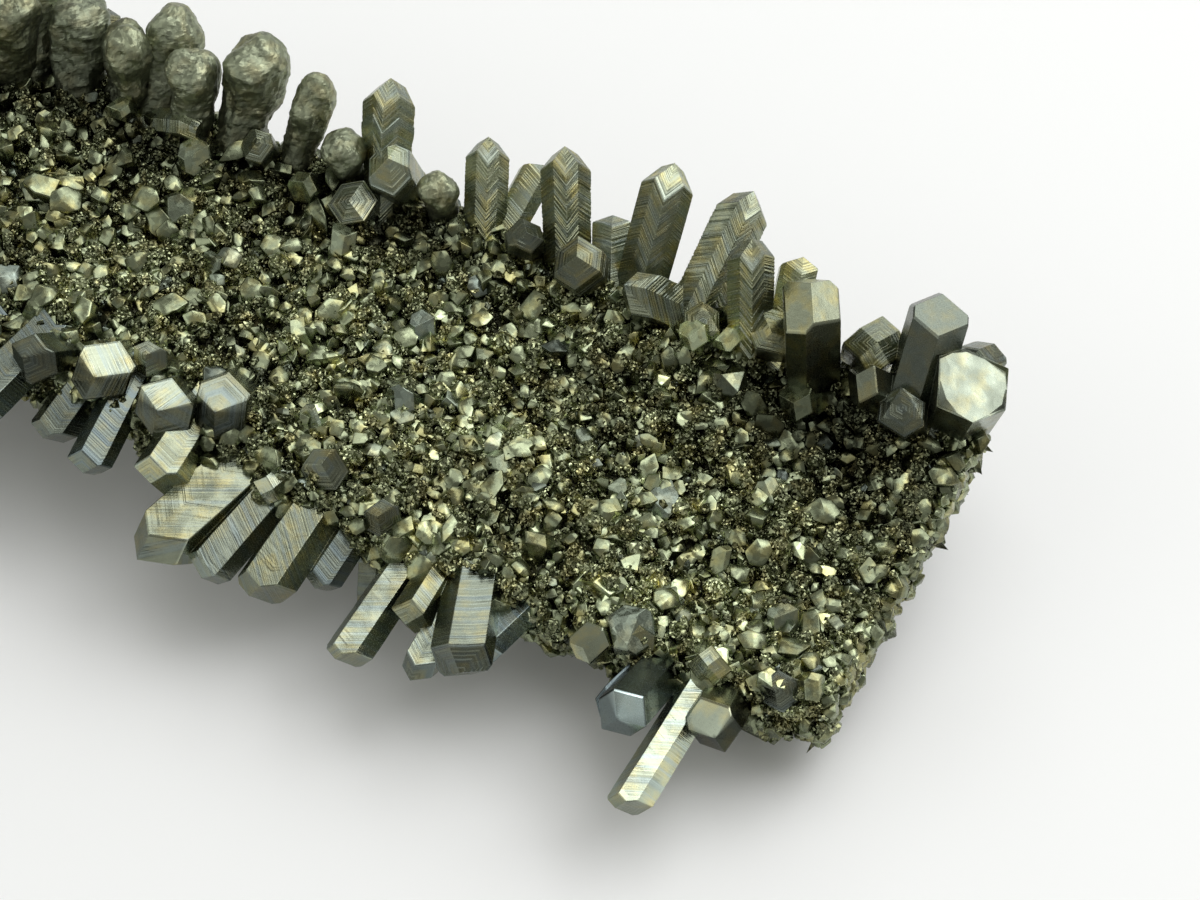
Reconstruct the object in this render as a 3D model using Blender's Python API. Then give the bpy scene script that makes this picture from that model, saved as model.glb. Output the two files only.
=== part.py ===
"""Niobium crystal bar: one solid of metal grown on a strip-shaped cathode.

A flat crust covered in small crystals carries long prisms along both of its
long rims. Niobium crystals are rhombic dodecahedra drawn out along one axis:
six sides under a cap of three faces, or four sides under a cap of four.

Frame: +X runs along the bar to its broken end, +Y to its far rim, +Z up. The
origin is under the middle of the bar, on the surface that it rests on.
Places along the bar are stations, measured from the broken end towards -X.
"""

import math
from typing import NamedTuple

import bmesh
import bpy
import numpy as np
from mathutils import Matrix, Vector

MM = 0.001

# The strip-shaped crust
BROKEN_END_X = 32.3
CRUST_LENGTH = 63.0
TROUGH_DEPTH = 0.7
HALF_THICKNESS_MIDDLE = 1.15
HALF_THICKNESS_RIM = 1.75
END_ROUNDING = 3.0
SQUARENESS = 0.4

# How the strip is bowed and twisted: half width and rim heights at stations
BEND_STATIONS = (0.0, 18.0, 32.0, 48.0, 63.0)
HALF_WIDTHS = (8.3, 8.5, 8.2, 8.0, 7.2)
FAR_RIM_HEIGHTS = (6.6, 7.9, 8.4, 8.3, 7.4)
NEAR_RIM_HEIGHTS = (3.7, 5.4, 6.9, 8.0, 7.6)

# The grains that tile the crust, most of them on the upper face
GRAIN_ROWS = 30
GRAIN_COLUMNS = 20
UPPER_COLUMNS = 12
GRAIN_HEIGHTS = (0.15, 0.9)
GRAIN_SCATTER = 0.22
TOP_SCATTER = 0.35
ROW_DRIFT = 0.15
END_RAGGEDNESS = 1.5

# Where the metal starts, at the near rim and the far one: the broken end is askew
BROKEN_END_STATIONS = (2.4, 1.5)

# Crystal forms: the cap's slope follows from the angle between {110} faces
THREEFOLD_SLOPE = math.acos(math.sqrt(2.0 / 3.0))
FOURFOLD_SLOPE = math.radians(45)
SIDE_UNEVENNESS = 0.16
ROOT_DEPTH = 1.3

# A knob's shape: fraction of the way up, and radius in widths
KNOB_PROFILE = ((0.0, 0.34), (0.5, 0.4), (0.74, 0.5), (0.92, 0.38))
KNOB_SIDES = 7

# Faces of one crystal that are level to this are one face
FLAT_ENOUGH = math.radians(0.5)

THREEFOLD = "threefold"
FOURFOLD = "fourfold"
KNOB = "knob"

FAR = 1
NEAR = -1
SEED = 77


class Prism(NamedTuple):
    """One large crystal on a rim. Sizes are in mm and angles in degrees."""

    rim: int
    station: float
    spread: float
    lean: float
    width: float
    length: float
    turn: float = 0.0
    rise: float = 0.3
    inset: float = 0.2
    tip: tuple = (0.0, 0.0)
    form: str = THREEFOLD


# Spread turns a crystal about the rim: 0 points straight out, 90 straight up,
# -90 straight down. Lean tilts it along the bar, and a positive lean points to
# the broken end. Turn rolls it about its own axis. Rise lifts its root above
# the rim, and inset moves the root in from the rim. Tip moves the cap's highest
# point off the axis, in half widths.
FAR_PRISMS = (
    Prism(FAR, 2.6, 112, 22, 3.3, 3.0, 6, 0.6, -0.8, (-0.3, 0.2)),
    Prism(FAR, 3.0, 68, 8, 1.8, 4.0, 40, 0.4, -0.4, (0.1, 0.2)),
    Prism(FAR, 4.7, 58, 1, 2.0, 5.3, -14, 0.6, 0.3, (-0.1, -0.1)),
    Prism(FAR, 4.6, 120, 0, 2.1, 2.2, 20, 0.4, 0.8, (-0.2, 0.0)),
    Prism(FAR, 5.9, 122, -38, 2.0, 2.6, 15, 0.4, 0.2, (0.0, 0.2)),
    Prism(FAR, 7.2, 112, 12, 2.2, 2.0, 25, 1.2, -1.0, (0.2, 0.0), FOURFOLD),
    Prism(FAR, 9.6, 62, -5, 2.4, 4.2, 60, 0.5, 0.3),
    Prism(FAR, 11.4, 40, -8, 1.7, 4.0, 30, 0.4, 0.2, (0.1, 0.1)),
    Prism(FAR, 11.7, 112, 8, 2.4, 2.2, 50, 0.5, 0.0, (0.2, -0.2)),
    Prism(FAR, 12.7, 78, -7, 1.9, 5.6, 0, 0.6, 0.7, (-0.2, 0.1)),
    Prism(FAR, 15.2, 116, 14, 1.7, 1.8, 35, 0.1, 0.6, (0.0, 0.1)),
    Prism(FAR, 15.6, 54, 10, 2.3, 6.0, -22, 0.6, 0.2, (0.15, -0.1)),
    Prism(FAR, 16.8, 22, 18, 1.5, 3.4, 12, 0.2),
    Prism(FAR, 17.0, 124, -38, 2.1, 2.6, 20, 0.8, 0.6, (0.0, 0.1), FOURFOLD),
    Prism(FAR, 18.5, 62, 2, 2.0, 6.0, -10, 0.5, 0.2, (-0.15, 0.0)),
    Prism(FAR, 20.2, 36, -20, 1.9, 2.8, 25, 0.5, 0.2, (0.1, 0.1)),
    Prism(FAR, 21.0, 117, 0, 2.1, 2.5, 8, 0.7, 0.7, (-0.2, 0.1)),
    Prism(FAR, 22.3, 62, -14, 1.9, 5.4, 12, 0.4, 0.2, (0.1, 0.0)),
    Prism(FAR, 24.4, 106, 10, 1.6, 1.9, 44, 0.4, 0.4, (0.1, 0.2)),
    Prism(FAR, 25.8, 34, 8, 1.5, 3.8, 20, 0.2, 0.0, (0.0, 0.1)),
    Prism(FAR, 26.6, 61, -10, 1.6, 4.6, 8, 0.1, 0.2, (0.15, 0.0)),
    Prism(FAR, 28.8, 98, -2, 1.8, 2.1, 34, 0.4, 0.0, (-0.1, 0.3), KNOB),
    Prism(FAR, 31.8, 64, -8, 2.0, 5.4, 16, 0.6, 0.2, (0.1, 0.2)),
    Prism(FAR, 31.2, 115, -2, 2.3, 2.5, 28, 0.7, -0.5, (-0.1, 0.1)),
    Prism(FAR, 32.5, 118, 4, 1.9, 2.0, 0, 0.2, 1.3, (0.1, 0.0)),
    Prism(FAR, 33.8, 100, -3, 2.1, 2.3, 22, 0.4, -0.2, (0.1, 0.1), KNOB),
    Prism(FAR, 36.6, 62, 5, 1.9, 4.6, 10, 0.1, 0.2, (0.2, 0.0), KNOB),
    Prism(FAR, 38.0, 112, 0, 1.6, 1.8, 40, 0.2, 0.4, (0.0, 0.1)),
    Prism(FAR, 39.7, 62, 3, 2.9, 5.6, 20, 0.0, 0.2, (0.1, -0.1), KNOB),
    Prism(FAR, 42.1, 75, 2, 2.5, 4.6, 0, 0.2, 0.7, (0.0, 0.0), KNOB),
    Prism(FAR, 43.9, 55, -6, 2.7, 5.1, 30, 0.2, 0.0, (0.0, 0.1), KNOB),
    Prism(FAR, 46.2, 62, -6, 2.0, 4.1, 45, 0.0, 0.2, (0.1, 0.0), KNOB),
    Prism(FAR, 48.3, 62, -15, 3.1, 4.4, 5, 0.2, 0.2, (0.0, 0.2), KNOB),
    Prism(FAR, 48.6, 26, -8, 2.0, 4.4, 15, 0.0, 0.2, (0.1, 0.1)),
    Prism(FAR, 50.8, 60, -12, 2.4, 5.4, 25, 0.1, 0.2, (0.2, 0.1), KNOB),
    Prism(FAR, 53.2, 86, 6, 2.3, 4.0, 10, 0.1, 0.4, (0.0, 0.0), KNOB),
    Prism(FAR, 54.6, 44, -14, 2.5, 5.0, 35, 0.0, 0.2, (0.1, 0.0), KNOB),
    Prism(FAR, 57.2, 68, -20, 2.6, 4.8, 0, 0.0, 0.2, (0.1, 0.2), KNOB),
    Prism(FAR, 59.2, 40, -34, 2.3, 4.2, 20, -0.1, 0.2, (0.0, 0.1), KNOB),
    Prism(FAR, 60.8, 84, -30, 2.0, 3.2, 12, -0.2, 0.4, (0.1, 0.1), KNOB),
)

NEAR_PRISMS = (
    Prism(NEAR, 4.3, 48, 8, 1.7, 1.5, 20, 0.2, 0.7, (0.2, 0.2)),
    Prism(NEAR, 6.5, 8, 11, 2.2, 3.7, 34, -0.2, 0.3, (0.3, 0.0)),
    Prism(NEAR, 7.6, -10, -5, 2.1, 7.2, 32, 1.0, 0.2, (0.1, 0.1)),
    Prism(NEAR, 7.4, 58, 6, 1.5, 1.6, 10, 0.3, 0.4, (0.1, 0.1), FOURFOLD),
    Prism(NEAR, 9.7, 10, 1, 2.5, 5.2, 4, -0.6, 0.3, (0.3, -0.2)),
    Prism(NEAR, 10.1, 2, -13, 1.3, 3.8, 26, 0.2, 0.3, (0.0, 0.0), FOURFOLD),
    Prism(NEAR, 10.9, 50, 0, 1.9, 1.6, 12, 0.2, 0.5, (0.1, 0.1)),
    Prism(NEAR, 12.6, 46, -6, 1.8, 1.6, 40, 0.2, -0.4, (0.1, 0.1)),
    Prism(NEAR, 16.4, -8, -18, 1.5, 2.6, 30, 0.3, 0.0, (0.1, 0.0)),
    Prism(NEAR, 18.9, 4, 20, 2.2, 5.2, 8, 0.3, 0.2, (0.2, 0.0), FOURFOLD),
    Prism(NEAR, 19.3, -14, -2, 1.5, 5.0, 28, 0.2, 0.0, (0.1, 0.1)),
    Prism(NEAR, 20.6, 4, 2, 1.7, 3.6, 10, 0.0, 0.2, (0.1, 0.0)),
    Prism(NEAR, 22.0, -12, -6, 1.9, 6.0, 24, 0.2, 0.2, (0.2, 0.1)),
    Prism(NEAR, 23.6, 46, 10, 1.8, 1.8, 18, 0.1, 0.8, (0.1, 0.2)),
    Prism(NEAR, 25.1, -20, -8, 1.6, 3.2, 30, 0.2, 0.2),
    Prism(NEAR, 26.9, -14, -6, 2.7, 5.2, 12, 0.4, 0.3, (0.0, 0.2)),
    Prism(NEAR, 27.0, 55, 10, 1.9, 1.8, 40, 0.2, 1.4, (0.2, 0.0)),
    Prism(NEAR, 28.6, 10, -10, 1.2, 2.4, 0, 0.6, 1.2, (0.1, 0.0)),
    Prism(NEAR, 29.0, -16, -14, 1.9, 5.4, 30, 0.3, 0.3, (0.1, -0.1)),
    Prism(NEAR, 31.0, -10, -19, 2.6, 6.6, 26, 0.5, 0.5, (0.25, 0.1)),
    Prism(NEAR, 32.8, 44, 14, 2.5, 2.8, 6, 0.4, 2.6, (0.1, 0.2)),
    Prism(NEAR, 33.7, 0, 3, 2.2, 3.6, 34, 1.0, 0.6, (0.1, 0.1)),
    Prism(NEAR, 35.0, 46, 14, 2.4, 2.8, 24, 0.4, 1.3, (0.2, -0.2)),
    Prism(NEAR, 36.6, 62, 6, 1.5, 2.2, 14, 0.3, 2.6, (0.1, 0.1)),
    Prism(NEAR, 37.3, -15, 2, 1.8, 4.2, 28, 1.2, 0.8, (0.1, 0.0)),
    Prism(NEAR, 38.4, 48, 14, 2.5, 2.8, 48, 0.4, 1.5, (0.1, 0.2)),
    Prism(NEAR, 39.2, -20, -9, 1.8, 3.4, 32, 1.2, 0.8, (0.2, 0.1)),
    Prism(NEAR, 41.0, 40, -6, 2.1, 2.6, 16, 0.4, 1.0, (0.1, 0.1)),
    Prism(NEAR, 42.2, 0, -8, 2.3, 4.6, 22, 1.0, 0.6, (0.2, 0.0)),
    Prism(NEAR, 44.4, -18, -6, 2.0, 4.4, 10, 0.6, 0.4, (0.1, 0.1)),
    Prism(NEAR, 45.2, 38, 8, 2.3, 3.4, 30, 0.2, 0.6, (0.1, 0.1)),
    Prism(NEAR, 47.2, -4, -10, 2.4, 5.2, 18, 0.4, 0.2, (0.2, 0.2), KNOB),
    Prism(NEAR, 49.6, -20, -4, 2.1, 4.8, 34, 0.2, 0.2, (0.1, 0.0)),
    Prism(NEAR, 50.8, 26, 4, 2.4, 4.2, 8, 0.2, 0.4, (0.1, 0.2), KNOB),
    Prism(NEAR, 53.2, -10, -14, 2.5, 5.2, 26, 0.1, 0.2, (0.2, 0.1), KNOB),
    Prism(NEAR, 55.4, 30, -10, 2.2, 4.0, 40, 0.1, 0.4, (0.0, 0.1), KNOB),
    Prism(NEAR, 57.4, -16, -18, 2.3, 4.6, 12, 0.0, 0.2, (0.1, 0.1), KNOB),
    Prism(NEAR, 59.8, 8, -32, 2.3, 4.2, 22, 0.0, 0.2, (0.1, 0.1), KNOB),
)

# Crystals under the rims, which the bar's own surface hides from above
UNDER_PRISMS = (
    Prism(FAR, 10.4, -24, -8, 2.0, 4.0, 30, 0.0),
    Prism(FAR, 14.2, -52, 6, 1.7, 3.2, 0, 0.0),
    Prism(FAR, 22.0, -34, 10, 2.1, 4.0, 20, 0.0),
    Prism(FAR, 31.0, -30, 8, 2.1, 4.2, 15, 0.0),
    Prism(FAR, 41.0, -34, -4, 2.3, 4.2, 25, 0.0),
    Prism(FAR, 51.0, -36, 6, 2.2, 4.0, 10, 0.0),
    Prism(NEAR, 24.0, -62, 10, 1.7, 3.2, 20, 0.0),
    Prism(NEAR, 33.0, -62, -8, 1.9, 3.6, 0, 0.0),
    Prism(NEAR, 45.0, -56, 6, 2.1, 3.8, 30, 0.0),
)


class Outcrop(NamedTuple):
    """A small crystal on the broad face: across runs from -1, near, to 1, far."""

    station: float
    across: float
    width: float
    height: float
    tilt_along: float = 0.0
    tilt_across: float = 0.0


# The larger of the crystals between the rims, tilts in degrees
OUTCROPS = (
    Outcrop(26.8, 0.28, 1.3, 1.4, 10, -25),
    Outcrop(25.5, -0.28, 1.5, 1.3, -15, -20),
    Outcrop(15.2, -0.16, 1.2, 1.2, 20, -30),
    Outcrop(13.2, -0.08, 1.4, 1.3, 5, -35),
    Outcrop(8.8, 0.16, 1.5, 1.3, -5, -15),
    Outcrop(20.2, -0.32, 1.2, 1.2, 0, -10),
    Outcrop(6.5, -0.04, 1.2, 1.2, -20, 10),
    Outcrop(32.2, 0.56, 1.6, 1.4, 15, -20),
    Outcrop(37.0, 0.08, 1.4, 1.3, 0, -15),
    Outcrop(42.2, -0.12, 1.5, 1.3, 20, 10),
    Outcrop(15.8, 0.48, 1.1, 1.2, -10, -20),
    Outcrop(8.0, -0.6, 1.3, 1.2, 10, 20),
    Outcrop(31.8, -0.08, 1.5, 1.3, -25, 0),
    Outcrop(23.8, 0.24, 1.3, 1.2, 20, 15),
    Outcrop(40.2, 0.36, 1.6, 1.4, -15, -25),
    Outcrop(12.2, -0.6, 1.3, 1.3, 0, 25),
    Outcrop(16.8, -0.7, 1.5, 1.3, 15, 30),
    Outcrop(29.2, -0.64, 1.5, 1.3, 0, 25),
    Outcrop(46.8, 0.12, 1.6, 1.4, 10, -10),
    Outcrop(50.5, -0.4, 1.7, 1.5, -10, 10),
    Outcrop(55.0, 0.3, 1.7, 1.4, -15, 15),
)


class Foot(NamedTuple):
    """A crystal under the bar that stands on one flat face of its cap."""

    x: float
    y: float
    lean_azimuth: float
    width: float


FEET = (
    Foot(27.0, -6.4, -60, 2.4),
    Foot(25.6, 7.2, 50, 2.6),
    Foot(-22.5, -6.6, -130, 2.9),
    Foot(-21.0, 6.6, 130, 2.8),
    Foot(3.5, 6.8, 70, 2.3),
)
FOOT_TIP_SHIFT = (-0.35, 0.0)
FOOT_REACH_INTO_CRUST = 0.4


def at_station(station, values):
    """A bend value at a station, read smoothly between the named ones."""
    return float(np.interp(station, BEND_STATIONS, values))


def crust_point(station, across, through):
    """A point of the crust: across runs -1 to 1 between the rims, and through -1 to 1 up."""
    half_width = at_station(station, HALF_WIDTHS)
    far = at_station(station, FAR_RIM_HEIGHTS)
    near = at_station(station, NEAR_RIM_HEIGHTS)
    thin = HALF_THICKNESS_RIM - HALF_THICKNESS_MIDDLE
    half_thickness = HALF_THICKNESS_MIDDLE + thin * across**2
    height = near + (far - near) * (across + 1) / 2 - TROUGH_DEPTH * (1 - across**2)
    return Vector(
        (BROKEN_END_X - station, across * half_width, height + through * half_thickness)
    )


def section_outline():
    """The strip's rounded outline: fraction of the way round, across and through."""
    angles = np.linspace(0, 2 * math.pi, 721)
    across = np.cos(angles)
    through = np.sign(np.sin(angles)) * np.abs(np.sin(angles)) ** SQUARENESS
    steps = np.hypot(
        np.diff(across) * HALF_WIDTHS[1], np.diff(through) * HALF_THICKNESS_RIM
    )
    travelled = np.concatenate(([0.0], np.cumsum(steps)))
    return travelled / travelled[-1], across, through


def ring_node(row, column, outline, rng):
    """A corner shared by four grains, on the ring of one row round the strip."""
    scatter = rng.uniform(-1, 1, 3) * GRAIN_SCATTER
    drift = ROW_DRIFT * math.sin(2.4 * row) + scatter[1]
    fraction = np.interp(
        (column + drift) % GRAIN_COLUMNS,
        (0, UPPER_COLUMNS, GRAIN_COLUMNS),
        (0, 0.5, 1),
    )
    across = np.interp(fraction, outline[0], outline[1])
    through = np.interp(fraction, outline[0], outline[2])
    start = np.interp(across, (-1, 1), BROKEN_END_STATIONS)
    step = (CRUST_LENGTH - start) / (GRAIN_ROWS - 1)
    raggedness = END_RAGGEDNESS if row in (0, GRAIN_ROWS - 1) else 1.0
    station = start + step * (row + raggedness * scatter[0])
    to_end = min(row, GRAIN_ROWS - 1 - row) * step
    narrowing = 1 - 0.14 * max(0.0, 1 - to_end / END_ROUNDING) ** 2
    through = (through + 0.3 * scatter[2]) * narrowing
    return crust_point(station, across * narrowing, through)


def add_grain(bm, corners, height, rng):
    """Closes three or four corners with a low pyramid, whose top is a crystal's tip."""
    points = [corner.co for corner in corners]
    middle = sum(points, Vector()) / len(points)
    across, along = points[2] - points[0], points[-1] - points[1]
    aside = (across * rng.uniform(-1, 1) + along * rng.uniform(-1, 1)) * TOP_SCATTER / 2
    top = bm.verts.new(middle + aside + across.cross(along).normalized() * height)
    for corner, following in zip(corners, corners[1:] + corners[:1]):
        bm.faces.new((corner, following, top))


def make_crust(rng):
    """The strip of metal, tiled with grains on both faces, its rims and its ends."""
    bm = bmesh.new()
    outline = section_outline()
    rings = []
    for row in range(GRAIN_ROWS):
        nodes = [ring_node(row, col, outline, rng) for col in range(GRAIN_COLUMNS)]
        rings.append([bm.verts.new(node) for node in nodes])
    for ring, following in zip(rings, rings[1:]):
        for column in range(GRAIN_COLUMNS):
            right = (column + 1) % GRAIN_COLUMNS
            corners = [ring[column], ring[right], following[right], following[column]]
            add_grain(bm, corners, rng.uniform(*GRAIN_HEIGHTS), rng)
    for ring, outward in ((rings[0], False), (rings[-1], True)):
        close_end(bm, ring, outward, rng)
    bmesh.ops.recalc_face_normals(bm, faces=bm.faces)
    return mesh_object("crystal_bar", bm)


def close_end(bm, ring, outward, rng):
    """Closes an end ring with grains that join its upper edge to its lower edge."""
    upper = ring[: UPPER_COLUMNS + 1]
    lower = [ring[0]] + ring[:UPPER_COLUMNS - 1:-1]
    top, bottom = 0, 0
    while top < len(upper) - 1 or bottom < len(lower) - 1:
        corner, opposite = upper[top], lower[bottom]
        upper_left = len(upper) - 1 - top
        lower_left = len(lower) - 1 - bottom
        if upper_left * len(lower) >= lower_left * len(upper):
            top += 1
            corners = [corner, upper[top], opposite]
        else:
            bottom += 1
            corners = [corner, lower[bottom], opposite]
        if len(set(corners)) == 3:
            if outward:
                corners.reverse()
            add_grain(bm, corners, rng.uniform(*GRAIN_HEIGHTS) * 0.8, rng)


def side_corners(sides, width, rng):
    """Corners of a crystal's cross-section, from sides at slightly uneven distances."""
    step = 2 * math.pi / sides
    distances = width / 2 * (1 + SIDE_UNEVENNESS * rng.uniform(-1, 1, sides))
    corners = []
    for index in range(sides):
        first, second = (index + 0.5) * step, (index + 1.5) * step
        near, far = distances[index], distances[(index + 1) % sides]
        x = (near * math.sin(second) - far * math.sin(first)) / math.sin(step)
        y = (far * math.cos(first) - near * math.cos(second)) / math.sin(step)
        corners.append((x, y))
    return corners


def crystal_points(width, length, root, sides, tip, rng):
    """Corner points of one crystal along +Z: its foot at -root, its highest point at length."""
    corners = side_corners(sides, width, rng)
    faces_in_cap = sides // 2 if sides == 6 else sides
    slope = math.tan(THREEFOLD_SLOPE if sides == 6 else FOURFOLD_SLOPE)
    tip_x, tip_y = tip[0] * width / 2, tip[1] * width / 2
    cap_angles = [2 * math.pi * k / faces_in_cap for k in range(faces_in_cap)]

    def cap_height(x, y):
        drops = [
            (x - tip_x) * math.cos(a) + (y - tip_y) * math.sin(a) for a in cap_angles
        ]
        return length - slope * max(drops)

    rim = list(corners)
    for angle in cap_angles:
        ridge = angle + math.pi / faces_in_cap
        rim.append(ray_to_outline(corners, (tip_x, tip_y), ridge))
    points = [Vector((tip_x, tip_y, length))]
    points += [Vector((x, y, cap_height(x, y))) for x, y in rim]
    points += [Vector((x, y, -root)) for x, y in corners]
    return points


def ray_to_outline(corners, start, angle):
    """Where a ray from a point inside a convex outline leaves it."""
    along = (math.cos(angle), math.sin(angle))
    reach = math.inf
    for (ax, ay), (bx, by) in zip(corners, corners[1:] + corners[:1]):
        out_x, out_y = by - ay, ax - bx
        rate = out_x * along[0] + out_y * along[1]
        if rate > 1e-9:
            gap = out_x * (ax - start[0]) + out_y * (ay - start[1])
            reach = min(reach, gap / rate)
    return start[0] + reach * along[0], start[1] + reach * along[1]


def frame_towards(direction, facing):
    """A rotation with +Z along direction and +X as near to facing as it can be."""
    z_axis = direction.normalized()
    x_axis = (facing - z_axis * facing.dot(z_axis)).normalized()
    return Matrix((x_axis, z_axis.cross(x_axis), z_axis)).transposed().to_4x4()


def mesh_object(name, bm):
    """A bmesh as a named object at the origin, scaled from millimetres to metres."""
    bmesh.ops.scale(bm, vec=(MM, MM, MM), verts=bm.verts)
    mesh = bpy.data.meshes.new(name)
    bm.to_mesh(mesh)
    bm.free()
    made = bpy.data.objects.new(name, mesh)
    bpy.context.scene.collection.objects.link(made)
    return made


def hull_object(name, points, placed):
    """The convex solid round some points, put in place, as a helper to be joined."""
    bm = bmesh.new()
    for point in points:
        bm.verts.new(placed @ point)
    made = bmesh.ops.convex_hull(bm, input=bm.verts)
    spare = [v for v in made["geom_interior"] if isinstance(v, bmesh.types.BMVert)]
    bmesh.ops.delete(bm, geom=spare, context="VERTS")
    bmesh.ops.dissolve_limit(
        bm, angle_limit=FLAT_ENOUGH, verts=bm.verts, edges=bm.edges
    )
    helper = mesh_object(name, bm)
    helper.hide_render = True
    helper.display_type = "WIRE"
    return helper


def rim_root(prism):
    """Where a rim crystal is rooted, just inside the crust's rounded rim."""
    spread = math.radians(prism.spread)
    half_width = at_station(prism.station, HALF_WIDTHS)
    across = prism.rim * (0.96 - prism.inset / half_width)
    lift = HALF_THICKNESS_RIM * 0.7 * math.sin(spread) + prism.rise
    out = Vector((0, prism.rim * 0.3 * math.cos(spread), lift))
    return crust_point(prism.station, across, 0) + out


def rim_direction(prism):
    """The way a rim crystal points."""
    spread, lean = math.radians(prism.spread), math.radians(prism.lean)
    out, up = math.cos(lean) * math.cos(spread), math.cos(lean) * math.sin(spread)
    return Vector((math.sin(lean), prism.rim * out, up))


def knob_points(width, length, root, rng):
    """A lumpy club, for a crystal whose stem swelled and whose tip grew over."""
    points = [Vector((0, 0, length))]
    for up, reach in KNOB_PROFILE:
        height = -root + up * (length + root)
        for step in range(KNOB_SIDES):
            angle = 2 * math.pi * (step + up) / KNOB_SIDES
            out = width * reach * rng.uniform(0.9, 1.06)
            lift = width * rng.uniform(-0.08, 0.08)
            points.append(
                Vector((out * math.cos(angle), out * math.sin(angle), height + lift))
            )
    return points


def make_rim_crystals(rng):
    """All the large crystals along both rims, and the ones under them."""
    made = []
    for number, prism in enumerate(FAR_PRISMS + NEAR_PRISMS + UNDER_PRISMS):
        facing = Vector((0, -1, 0.3)) if prism.rim == FAR else Vector((0, 0.2, 1))
        frame = frame_towards(rim_direction(prism), facing)
        turned = Matrix.Rotation(math.radians(prism.turn), 4, "Z")
        placed = Matrix.Translation(rim_root(prism)) @ frame @ turned
        width, length = prism.width, prism.length
        if prism.form == KNOB:
            points = knob_points(width, length, ROOT_DEPTH, rng)
        else:
            sides = 6 if prism.form == THREEFOLD else 4
            points = crystal_points(width, length, ROOT_DEPTH, sides, prism.tip, rng)
        made.append(hull_object(f"rim_crystal_{number}", points, placed))
    return made


def make_outcrops(rng):
    """The larger crystals that stand out of the grains on the upper face."""
    made = []
    for number, crystal in enumerate(OUTCROPS):
        root = crust_point(crystal.station, crystal.across, 1)
        along, across = math.radians(crystal.tilt_along), math.radians(crystal.tilt_across)
        direction = Vector((math.tan(along), math.tan(across), 1))
        frame = frame_towards(direction, Vector((1, rng.uniform(-1, 1), 0)))
        points = crystal_points(crystal.width, crystal.height, 0.8, 6, (0.0, 0.0), rng)
        placed = Matrix.Translation(root) @ frame
        made.append(hull_object(f"outcrop_{number}", points, placed))
    return made


def make_feet(rng):
    """Crystals that reach down to the surface, each with one cap face flat on it."""
    made = []
    down = Vector((0, 0, -1))
    for number, foot in enumerate(FEET):
        azimuth = math.radians(foot.lean_azimuth)
        sideways = Vector((math.cos(azimuth), math.sin(azimuth), 0))
        axis = down * math.cos(THREEFOLD_SLOPE) + sideways * math.sin(THREEFOLD_SLOPE)
        frame = frame_towards(axis, down)
        station = BROKEN_END_X - foot.x
        across = foot.y / at_station(station, HALF_WIDTHS)
        under = crust_point(station, across, -1).z + FOOT_REACH_INTO_CRUST
        height = under / math.cos(THREEFOLD_SLOPE)
        points = crystal_points(foot.width, height, 0.6, 6, FOOT_TIP_SHIFT, rng)
        tip = frame @ points[0]
        start = Vector((foot.x, foot.y, 0)) - axis * height
        start.z = -tip.z
        placed = Matrix.Translation(start) @ frame
        made.append(hull_object(f"foot_{number}", points, placed))
    return made


def join_into(crust, helpers):
    """Unites every helper with the crust in one solid, then drops the helpers."""
    together = bpy.data.collections.new("crystals")
    bpy.context.scene.collection.children.link(together)
    for helper in helpers:
        together.objects.link(helper)
    union = crust.modifiers.new("grown_together", "BOOLEAN")
    union.operation = "UNION"
    union.solver = "EXACT"
    union.operand_type = "COLLECTION"
    union.collection = together
    graph = bpy.context.evaluated_depsgraph_get()
    joined = bpy.data.meshes.new_from_object(crust.evaluated_get(graph))
    crust.modifiers.clear()
    crust.data = joined
    for helper in helpers:
        bpy.data.objects.remove(helper)
    bpy.data.collections.remove(together)
    tidy(joined)


def tidy(mesh):
    """Fills the small hollows that are closed off between crystals."""
    bm = bmesh.new()
    bm.from_mesh(mesh)
    for shell in sorted(separate_shells(bm), key=len)[:-1]:
        bmesh.ops.delete(bm, geom=shell, context="FACES")
    bmesh.ops.triangulate(bm, faces=bm.faces)
    bm.to_mesh(mesh)
    bm.free()


def centre(made):
    """Moves the bar so that its box stands on the origin, centred over it."""
    points = [vertex.co for vertex in made.data.vertices]
    low = [min(point[axis] for point in points) for axis in range(3)]
    high = [max(point[axis] for point in points) for axis in range(3)]
    middle = Vector(((low[0] + high[0]) / 2, (low[1] + high[1]) / 2, low[2]))
    made.data.transform(Matrix.Translation(-middle))


def separate_shells(bm):
    """The faces of a bmesh, grouped by which ones hang together."""
    left = set(bm.faces)
    shells = []
    while left:
        shell = []
        front = [left.pop()]
        while front:
            face = front.pop()
            shell.append(face)
            for edge in face.edges:
                for neighbour in edge.link_faces:
                    if neighbour in left:
                        left.remove(neighbour)
                        front.append(neighbour)
        shells.append(shell)
    return shells


def niobium():
    """Dark satin metal with a faint olive cast."""
    material = bpy.data.materials.new("niobium")
    material.use_nodes = True
    shader = material.node_tree.nodes["Principled BSDF"]
    shader.inputs["Base Color"].default_value = (0.40, 0.40, 0.34, 1.0)
    shader.inputs["Metallic"].default_value = 1.0
    shader.inputs["Roughness"].default_value = 0.34
    return material


def main():
    """Clears the scene and builds the bar."""
    for old in list(bpy.data.objects):
        bpy.data.objects.remove(old)
    rng = np.random.default_rng(SEED)
    crust = make_crust(rng)
    helpers = make_rim_crystals(rng) + make_outcrops(rng) + make_feet(rng)
    join_into(crust, helpers)
    centre(crust)
    crust.data.materials.clear()
    crust.data.materials.append(niobium())


main()
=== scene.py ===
"""The looks of a niobium crystal bar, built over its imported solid.

The bar is one body of metal. A crust, covered in small crystals and in clumps
of tiny ones, carries long prisms along both rims. Sizes here are in
millimetres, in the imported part's frame: +X runs to the bar's broken end, +Y to
its far rim and +Z up. Meshes are scaled to metres as they are made.
"""

import logging
import math
from dataclasses import dataclass, field, replace
from enum import Enum

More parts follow.
